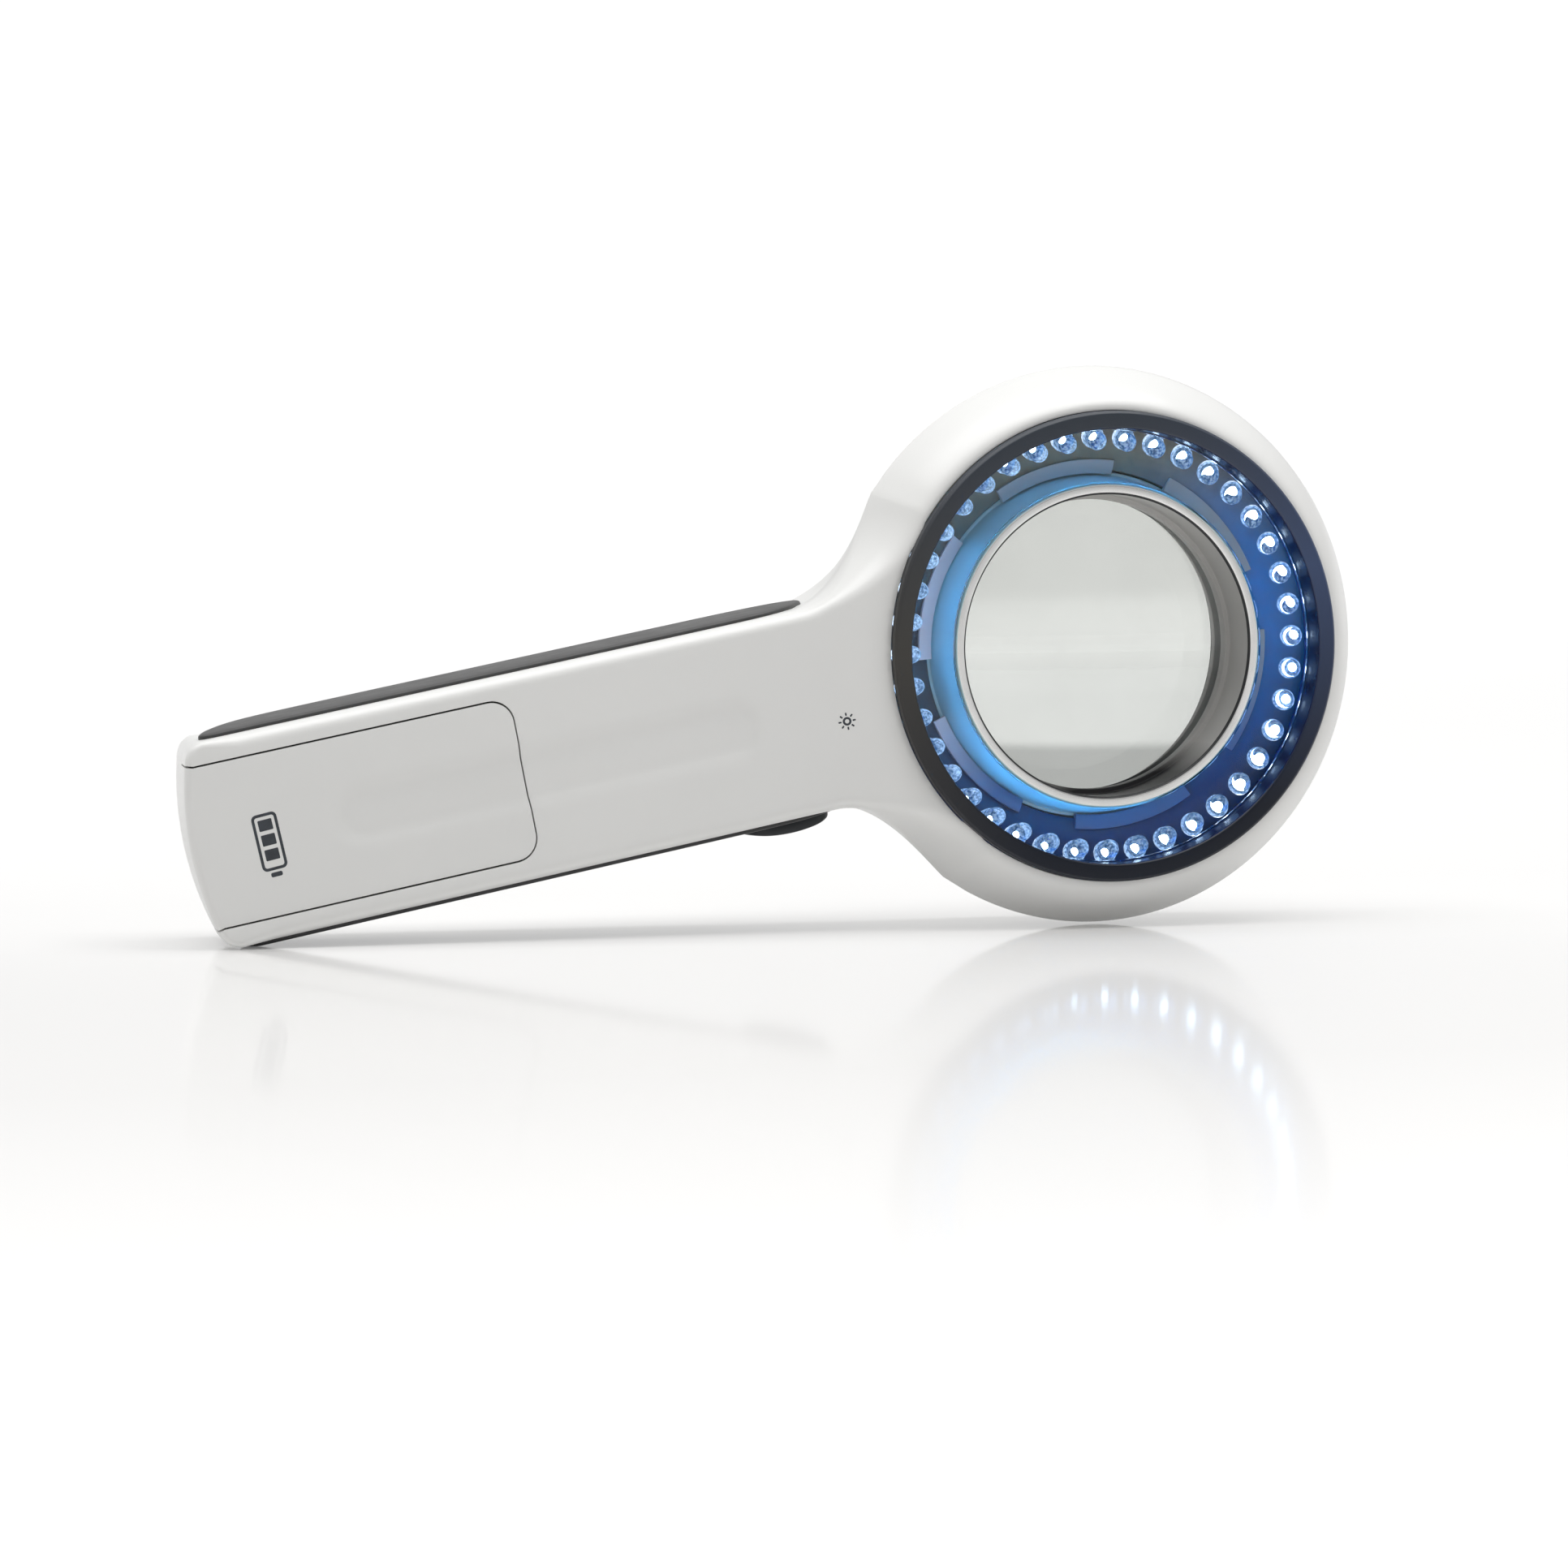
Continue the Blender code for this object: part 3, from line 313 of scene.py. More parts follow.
def sleeve_material():
    """A cell sleeve: slate film with a pale band near the positive end, wrinkled a little by the heat."""
    made = Surface("cell_sleeve", (0.07, 0.13, 0.22), 0.28, Coat_Weight=0.35, Coat_Roughness=0.1)
    x, _, _ = made.split()
    wave = made.math("SINE", made.math("MULTIPLY", x, 2.0 * math.pi / (22.0 * MM)))
    film = made.mix(made.span(wave, 0.0, 1.0, 0.82, 0.86), (0.05, 0.10, 0.18), (0.62, 0.64, 0.66))
    made.paint(made.mix(made.span(made.noise(200.0), 0.0, 0.25), film, (0.2, 0.24, 0.3)))
    return made.polish(0.06, 400.0).grain(500.0, 0.03 * MM, 0.25, (0.4, 1.0, 1.0))


SLEEVE = sleeve_material()


# ---- mesh helpers ----

PIECES = []


def mesh_from(name, vertices, faces, weld=0.002 * MM):
    mesh = bpy.data.meshes.new(name)
    mesh.from_pydata([tuple(v) for v in vertices], [], [tuple(int(k) for k in f) for f in faces])
    work = bmesh.new()
    work.from_mesh(mesh)
    bmesh.ops.remove_doubles(work, verts=work.verts, dist=weld)
    bmesh.ops.dissolve_degenerate(work, edges=work.edges, dist=0.1 * weld)
    bmesh.ops.recalc_face_normals(work, faces=work.faces)
    work.to_mesh(mesh)
    work.free()
    return mesh


def smooth(mesh, angle=38.0):
    mesh.shade_smooth()
    mesh.set_sharp_from_angle(angle=math.radians(angle))


def add(name, mesh, surface, body="body", replaced=(), slot=None, placed=DEVICE):
    """Puts a finished mesh in place as a piece that rides on a body and may stand for CAD nodes."""
    made = bpy.data.objects.new(name, mesh)
    bpy.context.scene.collection.objects.link(made)
    made.matrix_world = placed
    mesh.materials.clear()
    for one in surface if isinstance(surface, (list, tuple)) else [surface]:
        mesh.materials.append(one.material)
    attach(made, body)
    PIECES.append(made)
    if replaced:
        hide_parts(*replaced)
    return made


def apply_modifiers(mesh, *modifiers):
    """The mesh after a list of (type, settings) modifiers."""
    helper = bpy.data.objects.new("helper", mesh)
    bpy.context.scene.collection.objects.link(helper)
    for number, (kind, settings) in enumerate(modifiers):
        step = helper.modifiers.new(f"step_{number}", kind)
        for key, value in settings.items():
            setattr(step, key, value)
    graph = bpy.context.evaluated_depsgraph_get()
    result = bpy.data.meshes.new_from_object(helper.evaluated_get(graph))
    bpy.data.objects.remove(helper)
    return result


def rounded_edges(width, segments=2, angle=48.0):
    return ("BEVEL", {"width": width, "segments": segments, "limit_method": "ANGLE",
                      "angle_limit": math.radians(angle), "use_clamp_overlap": True})


def lathe(profile, segments, origin=(0, 0, 0), axis=AXIS_Y, closed=True):
    """Vertices and faces of (radius, distance) points in mm turned about an axis."""
    axis = Vector(axis).normalized()
    side = Vector((1.0, 0.0, 0.0)) if abs(axis.y) > 0.9 else axis.orthogonal().normalized()
    up = axis.cross(side)
    origin = Vector(origin)
    vertices, rings = [], []
    for radius, distance in profile:
        centre = origin + axis * (distance * MM)
        count = 1 if radius < 1e-6 else segments
        rings.append(list(range(len(vertices), len(vertices) + count)))
        for k in range(count):
            turn = 2.0 * math.pi * k / segments
            vertices.append(centre + (side * math.cos(turn) + up * math.sin(turn)) * (radius * MM))
    pairs = list(zip(rings, rings[1:]))
    if closed and len(rings[0]) > 1 and len(rings[-1]) > 1:
        pairs.append((rings[-1], rings[0]))
    faces = []
    for first, second in pairs:
        for k in range(segments):
            n = (k + 1) % segments
            if len(first) == 1:
                faces.append((first[0], second[n], second[k]))
            elif len(second) == 1:
                faces.append((first[k], first[n], second[0]))
            else:
                faces.append((first[k], first[n], second[n], second[k]))
    return vertices, faces


def joined(parts):
    """One (vertices, faces) from several."""
    vertices, faces = [], []
    for more, patch in parts:
        faces.extend(tuple(len(vertices) + k for k in f) for f in patch)
        vertices.extend(more)
    return vertices, faces


def eased(profile, reach, steps=3):
    """A closed profile with its corners rounded by reach, in mm."""
    points = [np.array(p, float) for p in profile]
    made = []
    for before, corner, after in zip(points[-1:] + points[:-1], points, points[1:] + points[:1]):
        first, second = before - corner, after - corner
        a = min(reach, 0.45 * np.linalg.norm(first))
        b = min(reach, 0.45 * np.linalg.norm(second))
        start = corner + first / np.linalg.norm(first) * a
        end = corner + second / np.linalg.norm(second) * b
        for t in np.linspace(0.0, 1.0, steps + 1):
            made.append(tuple((1 - t) ** 2 * start + 2 * t * (1 - t) * corner + t * t * end))
    return made


def ring_piece(name, profile, surface, reach, segments=192, **facts):
    """A turned ring with eased corners."""
    mesh = mesh_from(name, *lathe(eased(profile, reach), segments))
    smooth(mesh)
    return add(name, mesh, surface, **facts)


# ---- body outline and faces ----

def body_outline():
    """Outline of the whole body, counter-clockwise from the far side of the head."""
    upper = [(HEAD_RADIUS * math.cos(t), HEAD_RADIUS * math.sin(t)) for t in np.radians(np.linspace(0, 130, 140))]
    start = np.array([NECK_START, HANDLE_HALF_WIDTH])
    pull_start = start + mm([8.5, 0.3])
    end = np.array(NECK_END)
    pull_end = end - mm([2.7, 3.7])
    last_arc = np.array(upper[-1])
    upper += [tuple(last_arc + (end - last_arc) * t) for t in (0.25, 0.5, 0.75)]
    for t in np.linspace(1.0, 0.0, 36):
        s = 1.0 - t
        upper.append(s ** 3 * start + 3 * s * s * t * pull_start + 3 * s * t * t * pull_end + t ** 3 * end)
    upper += [(x, HANDLE_HALF_WIDTH) for x in np.linspace(-50.5, -141.0, 72) * MM]
    inner = END_ARC_RADIUS - CORNER_RADIUS
    arc_centre = HANDLE_END + END_ARC_RADIUS
    corner_z = HANDLE_HALF_WIDTH - CORNER_RADIUS
    corner_x = arc_centre - math.sqrt(inner ** 2 - corner_z ** 2)
    last = math.pi - math.asin(corner_z / inner)
    for t in np.linspace(math.pi / 2, last, 13):
        upper.append((corner_x + CORNER_RADIUS * math.cos(t), corner_z + CORNER_RADIUS * math.sin(t)))
    for z in (13.2 * MM, SEAM_Z[1], SEAM_Z[0], *np.linspace(12.0, 0.0, 17) * MM):
        upper.append((arc_centre - math.sqrt(END_ARC_RADIUS ** 2 - z ** 2), z))
    upper = np.array(upper)
    lower = upper[1:-1][::-1] * (1.0, -1.0)
    return np.vstack([upper, lower])


# where the door's edge and the hole's edge cross the outline, so that they are straight on the face
SEAM_Z = tuple(half + 0.27 * MM for half in (DOOR_HALF_WIDTH, HOLE_HALF_WIDTH))
OUTLINE = body_outline()
STEP = np.roll(OUTLINE, -1, axis=0) - np.roll(OUTLINE, 1, axis=0)
INWARD = np.stack([-STEP[:, 1], STEP[:, 0]], axis=1) / np.linalg.norm(STEP, axis=1)[:, None]
# the inward direction turns gently past the neck corners, so that the rows there don't pinch
GENTLE = INWARD
for _ in range(40):
    GENTLE = 0.5 * GENTLE + 0.25 * (np.roll(GENTLE, 1, axis=0) + np.roll(GENTLE, -1, axis=0))
AT_NECK = smoothstep(-OUTLINE[:, 0], 16.0 * MM, 24.0 * MM) * (1.0 - smoothstep(-OUTLINE[:, 0], 44.0 * MM, 50.0 * MM))
INWARD = INWARD + (GENTLE - INWARD) * AT_NECK[:, None]
INWARD /= np.linalg.norm(INWARD, axis=1)[:, None]
HEAD_SHARE = smoothstep(OUTLINE[:, 0], -46.0 * MM, -33.0 * MM)
END_SHARE = smoothstep(-OUTLINE[:, 0], 141.0 * MM, 146.0 * MM)
COUNT = len(OUTLINE)
AT_END = np.abs(OUTLINE[:, 0] - HANDLE_END) < 3.0 * MM
DOOR_COLUMNS = [k for k in range(COUNT) if AT_END[k] and abs(OUTLINE[k, 1]) < SEAM_Z[0] + 1e-6]
FIRST_DOOR, LAST_DOOR = DOOR_COLUMNS[0], DOOR_COLUMNS[-1]
SHELL_COLUMNS = [k % COUNT for k in range(LAST_DOOR + 1, COUNT + FIRST_DOOR)]


def along(handle, end, head):
    """A size that changes from the handle end, along the handle, to the head."""
    return handle + (end - handle) * END_SHARE + (head - handle) * HEAD_SHARE


def face_depth(x, z):
    near = smoothstep(np.hypot(x, z), 37.6 * MM, 54.0 * MM)
    return -DOME_Y + (DOME_Y - HANDLE_FACE_Y) * near


def thumb_dish(x, z):
    """Depth of the long shallow finger rest pressed into the handle face."""
    away = np.hypot(x - np.clip(x, -124.0 * MM, -63.5 * MM), z)
    return 0.68 * MM * smoothstep(5.2 * MM - away, 0.0, 2.4 * MM)


def front_face_y(x, z):
    return -face_depth(x, z) + thumb_dish(x, z)


def slanted(vertices):
    """Leans the handle end so that the front edge reaches furthest."""
    vertices = np.array([tuple(v) for v in vertices])
    share = smoothstep(-vertices[:, 0], 136.0 * MM, 148.0 * MM)
    vertices[:, 0] += share * END_SLANT * np.maximum(vertices[:, 1] + 10.0 * MM, 0.0)
    return vertices


def edge_curve(s):
    round_width, round_drop = 1.0 - math.cos(0.5 * math.pi * s), math.sin(0.5 * math.pi * s)
    dome_width, dome_drop = 2.0 * s * (1.0 - s) * DOME_LEAN + s * s, 1.0 - (1.0 - s) ** 2
    return (round_width + (dome_width - round_width) * HEAD_SHARE,
            round_drop + (dome_drop - round_drop) * HEAD_SHARE)


def front_rows(steps=14):
    width = along(2.2 * MM, 1.1 * MM, 6.9 * MM)
    drop = along(2.6 * MM, 1.1 * MM, 9.8 * MM)
    top = OUTLINE + INWARD * width[:, None]
    level = face_depth(top[:, 0], top[:, 1])
    rows = [(np.zeros(COUNT), np.full(COUNT, PARTING_Y)), (np.zeros(COUNT), 0.5 * (PARTING_Y - (level - drop)))]
    for s in np.linspace(0.0, 1.0, steps):
        across, down = edge_curve(s)
        rows.append((width * across, -(level - drop) - drop * down))
    return rows


def rear_rows():
    """Rows of the rear shell: the CAD's corner points, rounded by cutting corners three times."""
    table = [((0.3, 0.2, 0.4), -2.9), ((0.4, 0.25, 1.5), 2.0), ((0.6, 0.3, 3.9), 8.0), ((1.3, 0.8, 5.4), 12.0),
             ((2.6, 1.6, 7.2), 14.2), ((3.6, 2.3, 8.6), 15.0), ((4.5, 2.8, 9.5), 15.0)]
    rows = [np.array([*insets, y]) * MM for insets, y in table]
    for _ in range(3):
        cut = [rows[0]]
        for a, b in zip(rows, rows[1:]):
            cut += [0.75 * a + 0.25 * b, 0.25 * a + 0.75 * b]
        rows = [*cut, rows[-1]]
    return [(along(*row[:3]), np.full(COUNT, row[3])) for row in rows]


def strip(rows, columns, closed):
    """Quads between rows of the outline, over a run of columns."""
    vertices, faces = [], []
    width = len(columns)
    for inset, y in rows:
        ring = OUTLINE + INWARD * inset[:, None]
        vertices.extend((ring[k, 0], y[k], ring[k, 1]) for k in columns)
    for r in range(len(rows) - 1):
        for i in range(width if closed else width - 1):
            n = (i + 1) % width
            faces.append((r * width + i, r * width + n, (r + 1) * width + n, (r + 1) * width + i))
    return vertices, faces


def inside(loop, points):
    """Which points lie in a closed loop."""
    points, loop = np.asarray(points), np.asarray(loop)
    result = np.zeros(len(points), bool)
    for (x0, z0), (x1, z1) in zip(loop, np.roll(loop, -1, axis=0)):
        if z0 != z1:
            crossing = (points[:, 1] < z0) != (points[:, 1] < z1)
            result ^= crossing & (points[:, 0] < (x1 - x0) * (points[:, 1] - z0) / (z1 - z0) + x0)
    return result


def patch(outer, holes, height, pitch):
    """A triangulated sheet at height(x, z) over the outer loop less the holes, with a staggered inner grid."""
    low, high = np.min(outer, axis=0), np.max(outer, axis=0)
    grid = []
    for row, z in enumerate(np.arange(low[1], high[1], pitch * 0.87)):
        grid.append(np.stack([np.arange(low[0] + (row % 2) * pitch / 2, high[0], pitch),
                              np.full(len(np.arange(low[0] + (row % 2) * pitch / 2, high[0], pitch)), z)], axis=1))
    grid = np.vstack(grid)
    keep = inside(outer, grid)
    for loop in (outer, *holes):
        nearest = np.min(np.hypot(grid[:, None, 0] - loop[None, :, 0], grid[:, None, 1] - loop[None, :, 1]), axis=1)
        keep &= nearest > 0.55 * pitch
    for loop in holes:
        keep &= ~inside(loop, grid)
    grid = grid[keep]
    points, edges, base = [], [], 0
    for loop in (outer, *holes):
        points.extend(loop)
        edges.extend((base + k, base + (k + 1) % len(loop)) for k in range(len(loop)))
        base += len(loop)
    points = np.vstack([np.array(points), grid])
    flat = [Vector(p) for p in points / MM]
    found, _, faces = geometry.delaunay_2d_cdt(flat, edges, [], 0, 1e-6)[:3]
    found = np.array([tuple(p) for p in found]) * MM
    middles = np.array([found[list(f)].mean(axis=0) for f in faces])
    wanted = inside(outer, middles)
    for loop in holes:
        wanted &= ~inside(loop, middles)
    y = height(found[:, 0], found[:, 1])
    vertices = np.stack([found[:, 0], y, found[:, 1]], axis=1)
    return vertices, [f for f, ok in zip(faces, wanted) if ok]


def seam_path(half_width, edge, corner, start_x):
    """The door's edge or the hole's edge on the face, from one side of the handle end round to the other."""
    straight = np.arange(start_x + 1.2 * MM, edge - corner, 1.2 * MM)
    points = [(x, half_width) for x in straight]
    for t in np.radians(np.linspace(90.0, 0.0, 10)):
        points.append((edge - corner + corner * math.cos(t), half_width - corner + corner * math.sin(t)))
    lower = [(x, -z) for x, z in reversed(points)]
    across = [(edge, z) for z in np.linspace(half_width - corner, corner - half_width, 16)[1:-1]]
    return np.array([*points, *across, *lower])


def skin_mesh(name, parts, outward, *more):
    """One sheet from several, given thickness towards the inside and slightly rounded rims."""
    mesh = mesh_from(name, slanted(joined(parts)[0]), joined(parts)[1])
    score = sum(p.normal.dot(Vector(outward)) * p.area for p in mesh.polygons)
    if score < 0.0:
        mesh.flip_normals()
    mesh = apply_modifiers(mesh, ("SOLIDIFY", {"thickness": SKIN, "offset": -1.0}), rounded_edges(0.13 * MM, 2))
    smooth(mesh, 42.0)
    return mesh


def circle(radius, count=180, centre=(0.0, 0.0)):
    turns = np.arange(count) * 2.0 * math.pi / count
    return np.stack([centre[0] + radius * np.cos(turns), centre[1] + radius * np.sin(turns)], axis=1)


FRONT = front_rows()
LAST_ROW = OUTLINE + INWARD * FRONT[-1][0][:, None]

hole_path = seam_path(HOLE_HALF_WIDTH, DOOR_EDGE + 0.25 * MM, DOOR_CORNER + 0.25 * MM, LAST_ROW[SHELL_COLUMNS[-1], 0])
shell_loop = np.vstack([LAST_ROW[SHELL_COLUMNS], hole_path])
shell_patch = patch(shell_loop, [circle(BEZEL_HOLE)], front_face_y, 1.05 * MM)
add("front_shell", skin_mesh("front_shell", [strip(FRONT, SHELL_COLUMNS, False), shell_patch], (0, -1, 0)),
    WHITE, replaced=["front_housing"], slot="front_housing")

door_path = seam_path(DOOR_HALF_WIDTH, DOOR_EDGE, DOOR_CORNER, LAST_ROW[DOOR_COLUMNS[0], 0])
door_loop = np.vstack([LAST_ROW[DOOR_COLUMNS][::-1], door_path])
door_patch = patch(door_loop, [], front_face_y, 1.05 * MM)
add("door_panel", skin_mesh("door_panel", [strip(FRONT, DOOR_COLUMNS, False), door_patch], (0, -1, 0)),
    DOOR_WHITE, body="battery_door", replaced=["battery_door"], slot="battery_door")



def painted_seam_shadow():
    """A dark strip under the door's edge, put there as painted shadow in the seam."""
    path = seam_path(HOLE_HALF_WIDTH - 0.15 * MM, DOOR_EDGE + 0.1 * MM, DOOR_CORNER, -149.2 * MM)
    step = np.roll(path, -1, axis=0) - np.roll(path, 1, axis=0)
    step[0], step[-1] = path[1] - path[0], path[-1] - path[-2]
    side = np.stack([-step[:, 1], step[:, 0]], axis=1) / np.linalg.norm(step, axis=1)[:, None]
    vertices, faces = [], []
    for across, down in ((-0.75, 1.25), (0.75, 1.25), (0.75, 1.55), (-0.75, 1.55)):
        line = path + side * (across * MM)
        vertices.extend(zip(line[:, 0], front_face_y(line[:, 0], line[:, 1]) + down * MM, line[:, 1]))
    count = len(path)
    for k in range(count - 1):
        for r in range(4):
            n = (r + 1) % 4
            faces.append((r * count + k, r * count + k + 1, n * count + k + 1, n * count + k))
    faces += [tuple(r * count for r in range(4)), tuple(r * count + count - 1 for r in range(4))]
    return mesh_from("painted_seam_shadow", vertices, faces)


add("painted_seam_shadow", painted_seam_shadow(), SEAM_SHADE)

SCREW_PLACES = [(-46.3, 10.8), (-46.3, -10.8), (-87.3, 9.5), (-87.3, -9.5)]
REAR = rear_rows()
rear_loop = OUTLINE + INWARD * REAR[-1][0][:, None]
rear_holes = [circle(28.2 * MM)] + [circle(2.2 * MM, 32, mm(place)) for place in SCREW_PLACES]
rear_patch = patch(rear_loop, rear_holes, lambda x, z: np.full(len(x), REAR_Y), 2.2 * MM)
rear_mesh = skin_mesh("rear_shell", [strip(REAR, list(range(COUNT)), True), rear_patch], (0, 1, 0))
bosses = [lathe([(2.2, 14.5), (2.2, 11.0), (1.2, 11.0), (1.2, 8.0), (3.0, 8.0), (3.0, 14.5)], 32,
                (x * MM, 0, z * MM)) for x, z in SCREW_PLACES]
collar = lathe([(28.2, 14.5), (28.2, 3.0), (29.6, 3.0), (29.6, 14.5)], 180)
inner_parts = mesh_from("rear_bosses", *joined([*bosses, collar]))
smooth(inner_parts)
work = bmesh.new()
work.from_mesh(rear_mesh)
work.from_mesh(inner_parts)
work.to_mesh(rear_mesh)
work.free()
smooth(rear_mesh, 42.0)
add("rear_shell", rear_mesh, WHITE, replaced=["rear_housing"], slot="rear_housing")

# ---- side grips and button ----

GRIP_PLAN = mm([(-146.2, -6.9), (-144.6, -7.9), (-141.0, -8.1), (-125.0, -8.1), (-105.0, -8.1), (-85.0, -8.1),
                (-68.0, -8.1), (-56.0, -7.7), (-50.3, -5.6), (-47.1, -2.6), (-45.7, 0.2), (-46.2, 2.6), (-49.3, 5.2),
                (-56.0, 6.7), (-68.0, 7.0), (-85.0, 7.0), (-105.0, 7.0), (-125.0, 7.0), (-135.0, 6.2),
                (-141.0, 3.2), (-144.8, -1.5), (-146.2, -5.2)])
GRIP_MIDDLE = mm([-96.5, -0.6])


def closed_curve(points, steps):
    """A smooth closed curve through points."""
    made = []
    for a, b, c, d in zip(np.roll(points, 1, 0), points, np.roll(points, -1, 0), np.roll(points, -2, 0)):
        for t in np.arange(steps) / steps:
            made.append(0.5 * (2 * b + (c - a) * t + (2 * a - 5 * b + 4 * c - d) * t ** 2
                               + (3 * b - a - 3 * c + d) * t ** 3))
    return np.array(made)


def stack_mesh(name, loops, sign=-1.0, lean=False, crown=None):
    """A solid from equal-length (x, y) loops, each at a height across the handle; crown(x, y) raises the last."""
    count = len(loops[0][0])
    vertices, faces = [], []
    for plan, height in loops:
        raised = crown or (lambda x, y, h: h)
        vertices.extend((x, y, sign * raised(x, y, height)) for x, y in plan)
    for k in range(len(loops) - 1):
        for i in range(count):
            n = (i + 1) % count
            faces.append((k * count + i, k * count + n, (k + 1) * count + n, (k + 1) * count + i))
    faces += [tuple(range(count)), tuple(range((len(loops) - 1) * count, len(loops) * count))]
    return mesh_from(name, slanted(vertices) if lean else vertices, faces)


grip_curve = closed_curve(GRIP_PLAN, 9)
GRIP_ROWS = [(1.0, 1.0, 15.1), (1.0, 1.0, 16.25), (0.999, 0.995, 16.45), (0.997, 0.98, 16.58), (0.993, 0.95, 16.67),
             (0.988, 0.9, 16.74), (0.978, 0.8, 16.79), (0.963, 0.66, 16.84), (0.945, 0.48, 16.87),
             (0.92, 0.28, 16.885), (0.9, 0.12, 16.89)]
for grip_name, sign in (("side_grip_upper", 1.0), ("side_grip_lower", -1.0)):
    grip_loops = [(GRIP_MIDDLE + (grip_curve - GRIP_MIDDLE) * (across, deep), height * MM)
                  for across, deep, height in GRIP_ROWS]
    grip_mesh = stack_mesh(grip_name, grip_loops, sign, True)
    for corner in grip_mesh.vertices:
        resting = (HEAD_RADIUS + corner.co.x * math.sin(TILT)) / math.cos(TILT) - 0.02 * MM
        if sign < 0.0 and corner.co.x < -100.0 * MM:
            corner.co.z = max(corner.co.z, -resting)
    smooth(grip_mesh, 50.0)
    # the lower grip takes the darker copy of the rubber, as painted shade
    rubber = GRIP if sign > 0.0 else SHADED_GRIP
    add(grip_name.replace("side_grip", "soft_grip"), grip_mesh, rubber, replaced=[grip_name], slot=grip_name)


def stadium(half_length, half_depth, count=24):
    straight = half_length - half_depth
    points = []
    for middle, start in ((straight, -90.0), (-straight, 90.0)):
        for t in np.radians(np.linspace(start, start + 180.0, count)):
            points.append((BUTTON_CENTRE + middle + half_depth * math.cos(t),
                           BUTTON_DEPTH_CENTRE + half_depth * math.sin(t)))
        side = 1.0 if middle > 0.0 else -1.0
        for x in np.linspace(middle, -middle, 14)[1:-1]:
            points.append((BUTTON_CENTRE + x, BUTTON_DEPTH_CENTRE + side * half_depth))
    return np.array(points)


button_loops = [(stadium(4.2 * MM, 2.1 * MM), 12.8 * MM), (stadium(4.2 * MM, 2.1 * MM), 16.0 * MM),
                (stadium(7.05 * MM, 3.6 * MM), 16.0 * MM), (stadium(7.15 * MM, 3.7 * MM), 16.1 * MM),
                (stadium(7.15 * MM, 3.7 * MM), 17.15 * MM)]
for t in np.radians(np.linspace(12.0, 90.0, 8)):
    inset = 0.45 * (1.0 - math.cos(t)) * MM
    button_loops.append((stadium(7.15 * MM - inset, 3.7 * MM - inset), (17.15 + 0.42 * math.sin(t)) * MM))
for inset in (0.9, 1.6, 2.2, 2.8, 3.3):
    button_loops.append((stadium(7.15 * MM - inset * MM, 3.7 * MM - inset * MM), (17.57 + 0.015 * inset) * MM))


def button_crown(x, y, height):
    """The button's top bows along its length: full height in the middle, little at the ends."""
    bow = max(0.0, 1.0 - ((x - BUTTON_CENTRE) / (7.15 * MM)) ** 2)
    return height + 1.1 * MM * bow * smoothstep(height, 16.2 * MM, 17.5 * MM)


button_mesh = stack_mesh("push_button", button_loops, crown=button_crown)
smooth(button_mesh, 50.0)
add("push_button", button_mesh, BUTTON, body="power_button", replaced=["power_button"], slot="power_button")


def cut(names, mesh, angle):
    """Takes a closed mesh, in the device frame, out of finished pieces."""
    cutter = bpy.data.objects.new("cutter", mesh)
    bpy.context.scene.collection.objects.link(cutter)
    for name in names:
        piece = next(one for one in PIECES if one.name == name)
        piece.data = apply_modifiers(piece.data, ("BOOLEAN", {"operation": "DIFFERENCE", "solver": "EXACT",
                                                              "object": cutter}))
        smooth(piece.data, angle)
    bpy.data.objects.remove(cutter)


# the button's pocket, and the hole for its stem, 0.3 mm wider than the button all round
cap_gap, stem_gap = stadium(7.45 * MM, 4.0 * MM), stadium(4.5 * MM, 2.4 * MM)
pocket_rows = [(stem_gap, 11.5 * MM), (stem_gap, 14.9 * MM), (cap_gap, 14.9 * MM), (cap_gap, 20.0 * MM)]
pocket = stack_mesh("pocket", pocket_rows)
cut(["front_shell", "rear_shell", "soft_grip_lower"], pocket, 42.0)

# ---- head: bezel, sheet, barrel, lens and rear window ----

ring_piece("bezel_ring", [(37.25, -13.05), (37.25, -14.5), (36.8, -15.0), (34.7, -15.0), (34.4, -14.7),
                          (34.4, -8.3), (35.2, -8.3), (35.2, -13.05)], BEZEL, 0.14,
           replaced=["front_bezel"], slot="front_bezel")
ring_piece("polariser_sheet", [(26.0, -10.6), (34.2, -10.6), (34.2, -9.95), (26.0, -9.95)], SHEET, 0.06,
           replaced=["polariser_ring"], slot="polariser_ring")
BARREL_PROFILE = [(24.35, -10.6), (25.6, -10.6), (25.75, -10.0), (26.1, -8.2), (26.6, -6.0), (27.4, -2.6),
                  (27.9, -2.6), (27.9, -0.6), (23.2, -0.6), (23.2, -2.7), (24.0, -2.7), (24.0, -10.25)]
CELL_PROFILE = [(25.3, -0.3), (27.9, -0.3), (27.9, 1.4), (33.0, 1.4), (33.0, 2.8), (27.9, 2.8), (27.9, 10.4),
                (26.7, 10.4), (26.7, 7.5), (25.3, 7.5)]
ring_piece("cell_tube", CELL_PROFILE, BARREL, 0.12, replaced=["lens_cell"], slot="lens_cell")
barrel = ring_piece("barrel", BARREL_PROFILE, [BARREL, LIP, BORE, BLACK], 0.12,
                    replaced=["lens_barrel"], slot="lens_barrel")
for face in barrel.data.polygons:
    radius = math.hypot(face.center.x, face.center.z)
    if 24.34 * MM < radius < 25.45 * MM and face.center.y < -10.2 * MM:
        face.material_index = 1
    elif radius < 24.34 * MM and face.center.y < -9.9 * MM:
        face.material_index = 3
    elif radius < 24.05 * MM:
        face.material_index = 2 if face.center.y > -9.9 * MM else 3
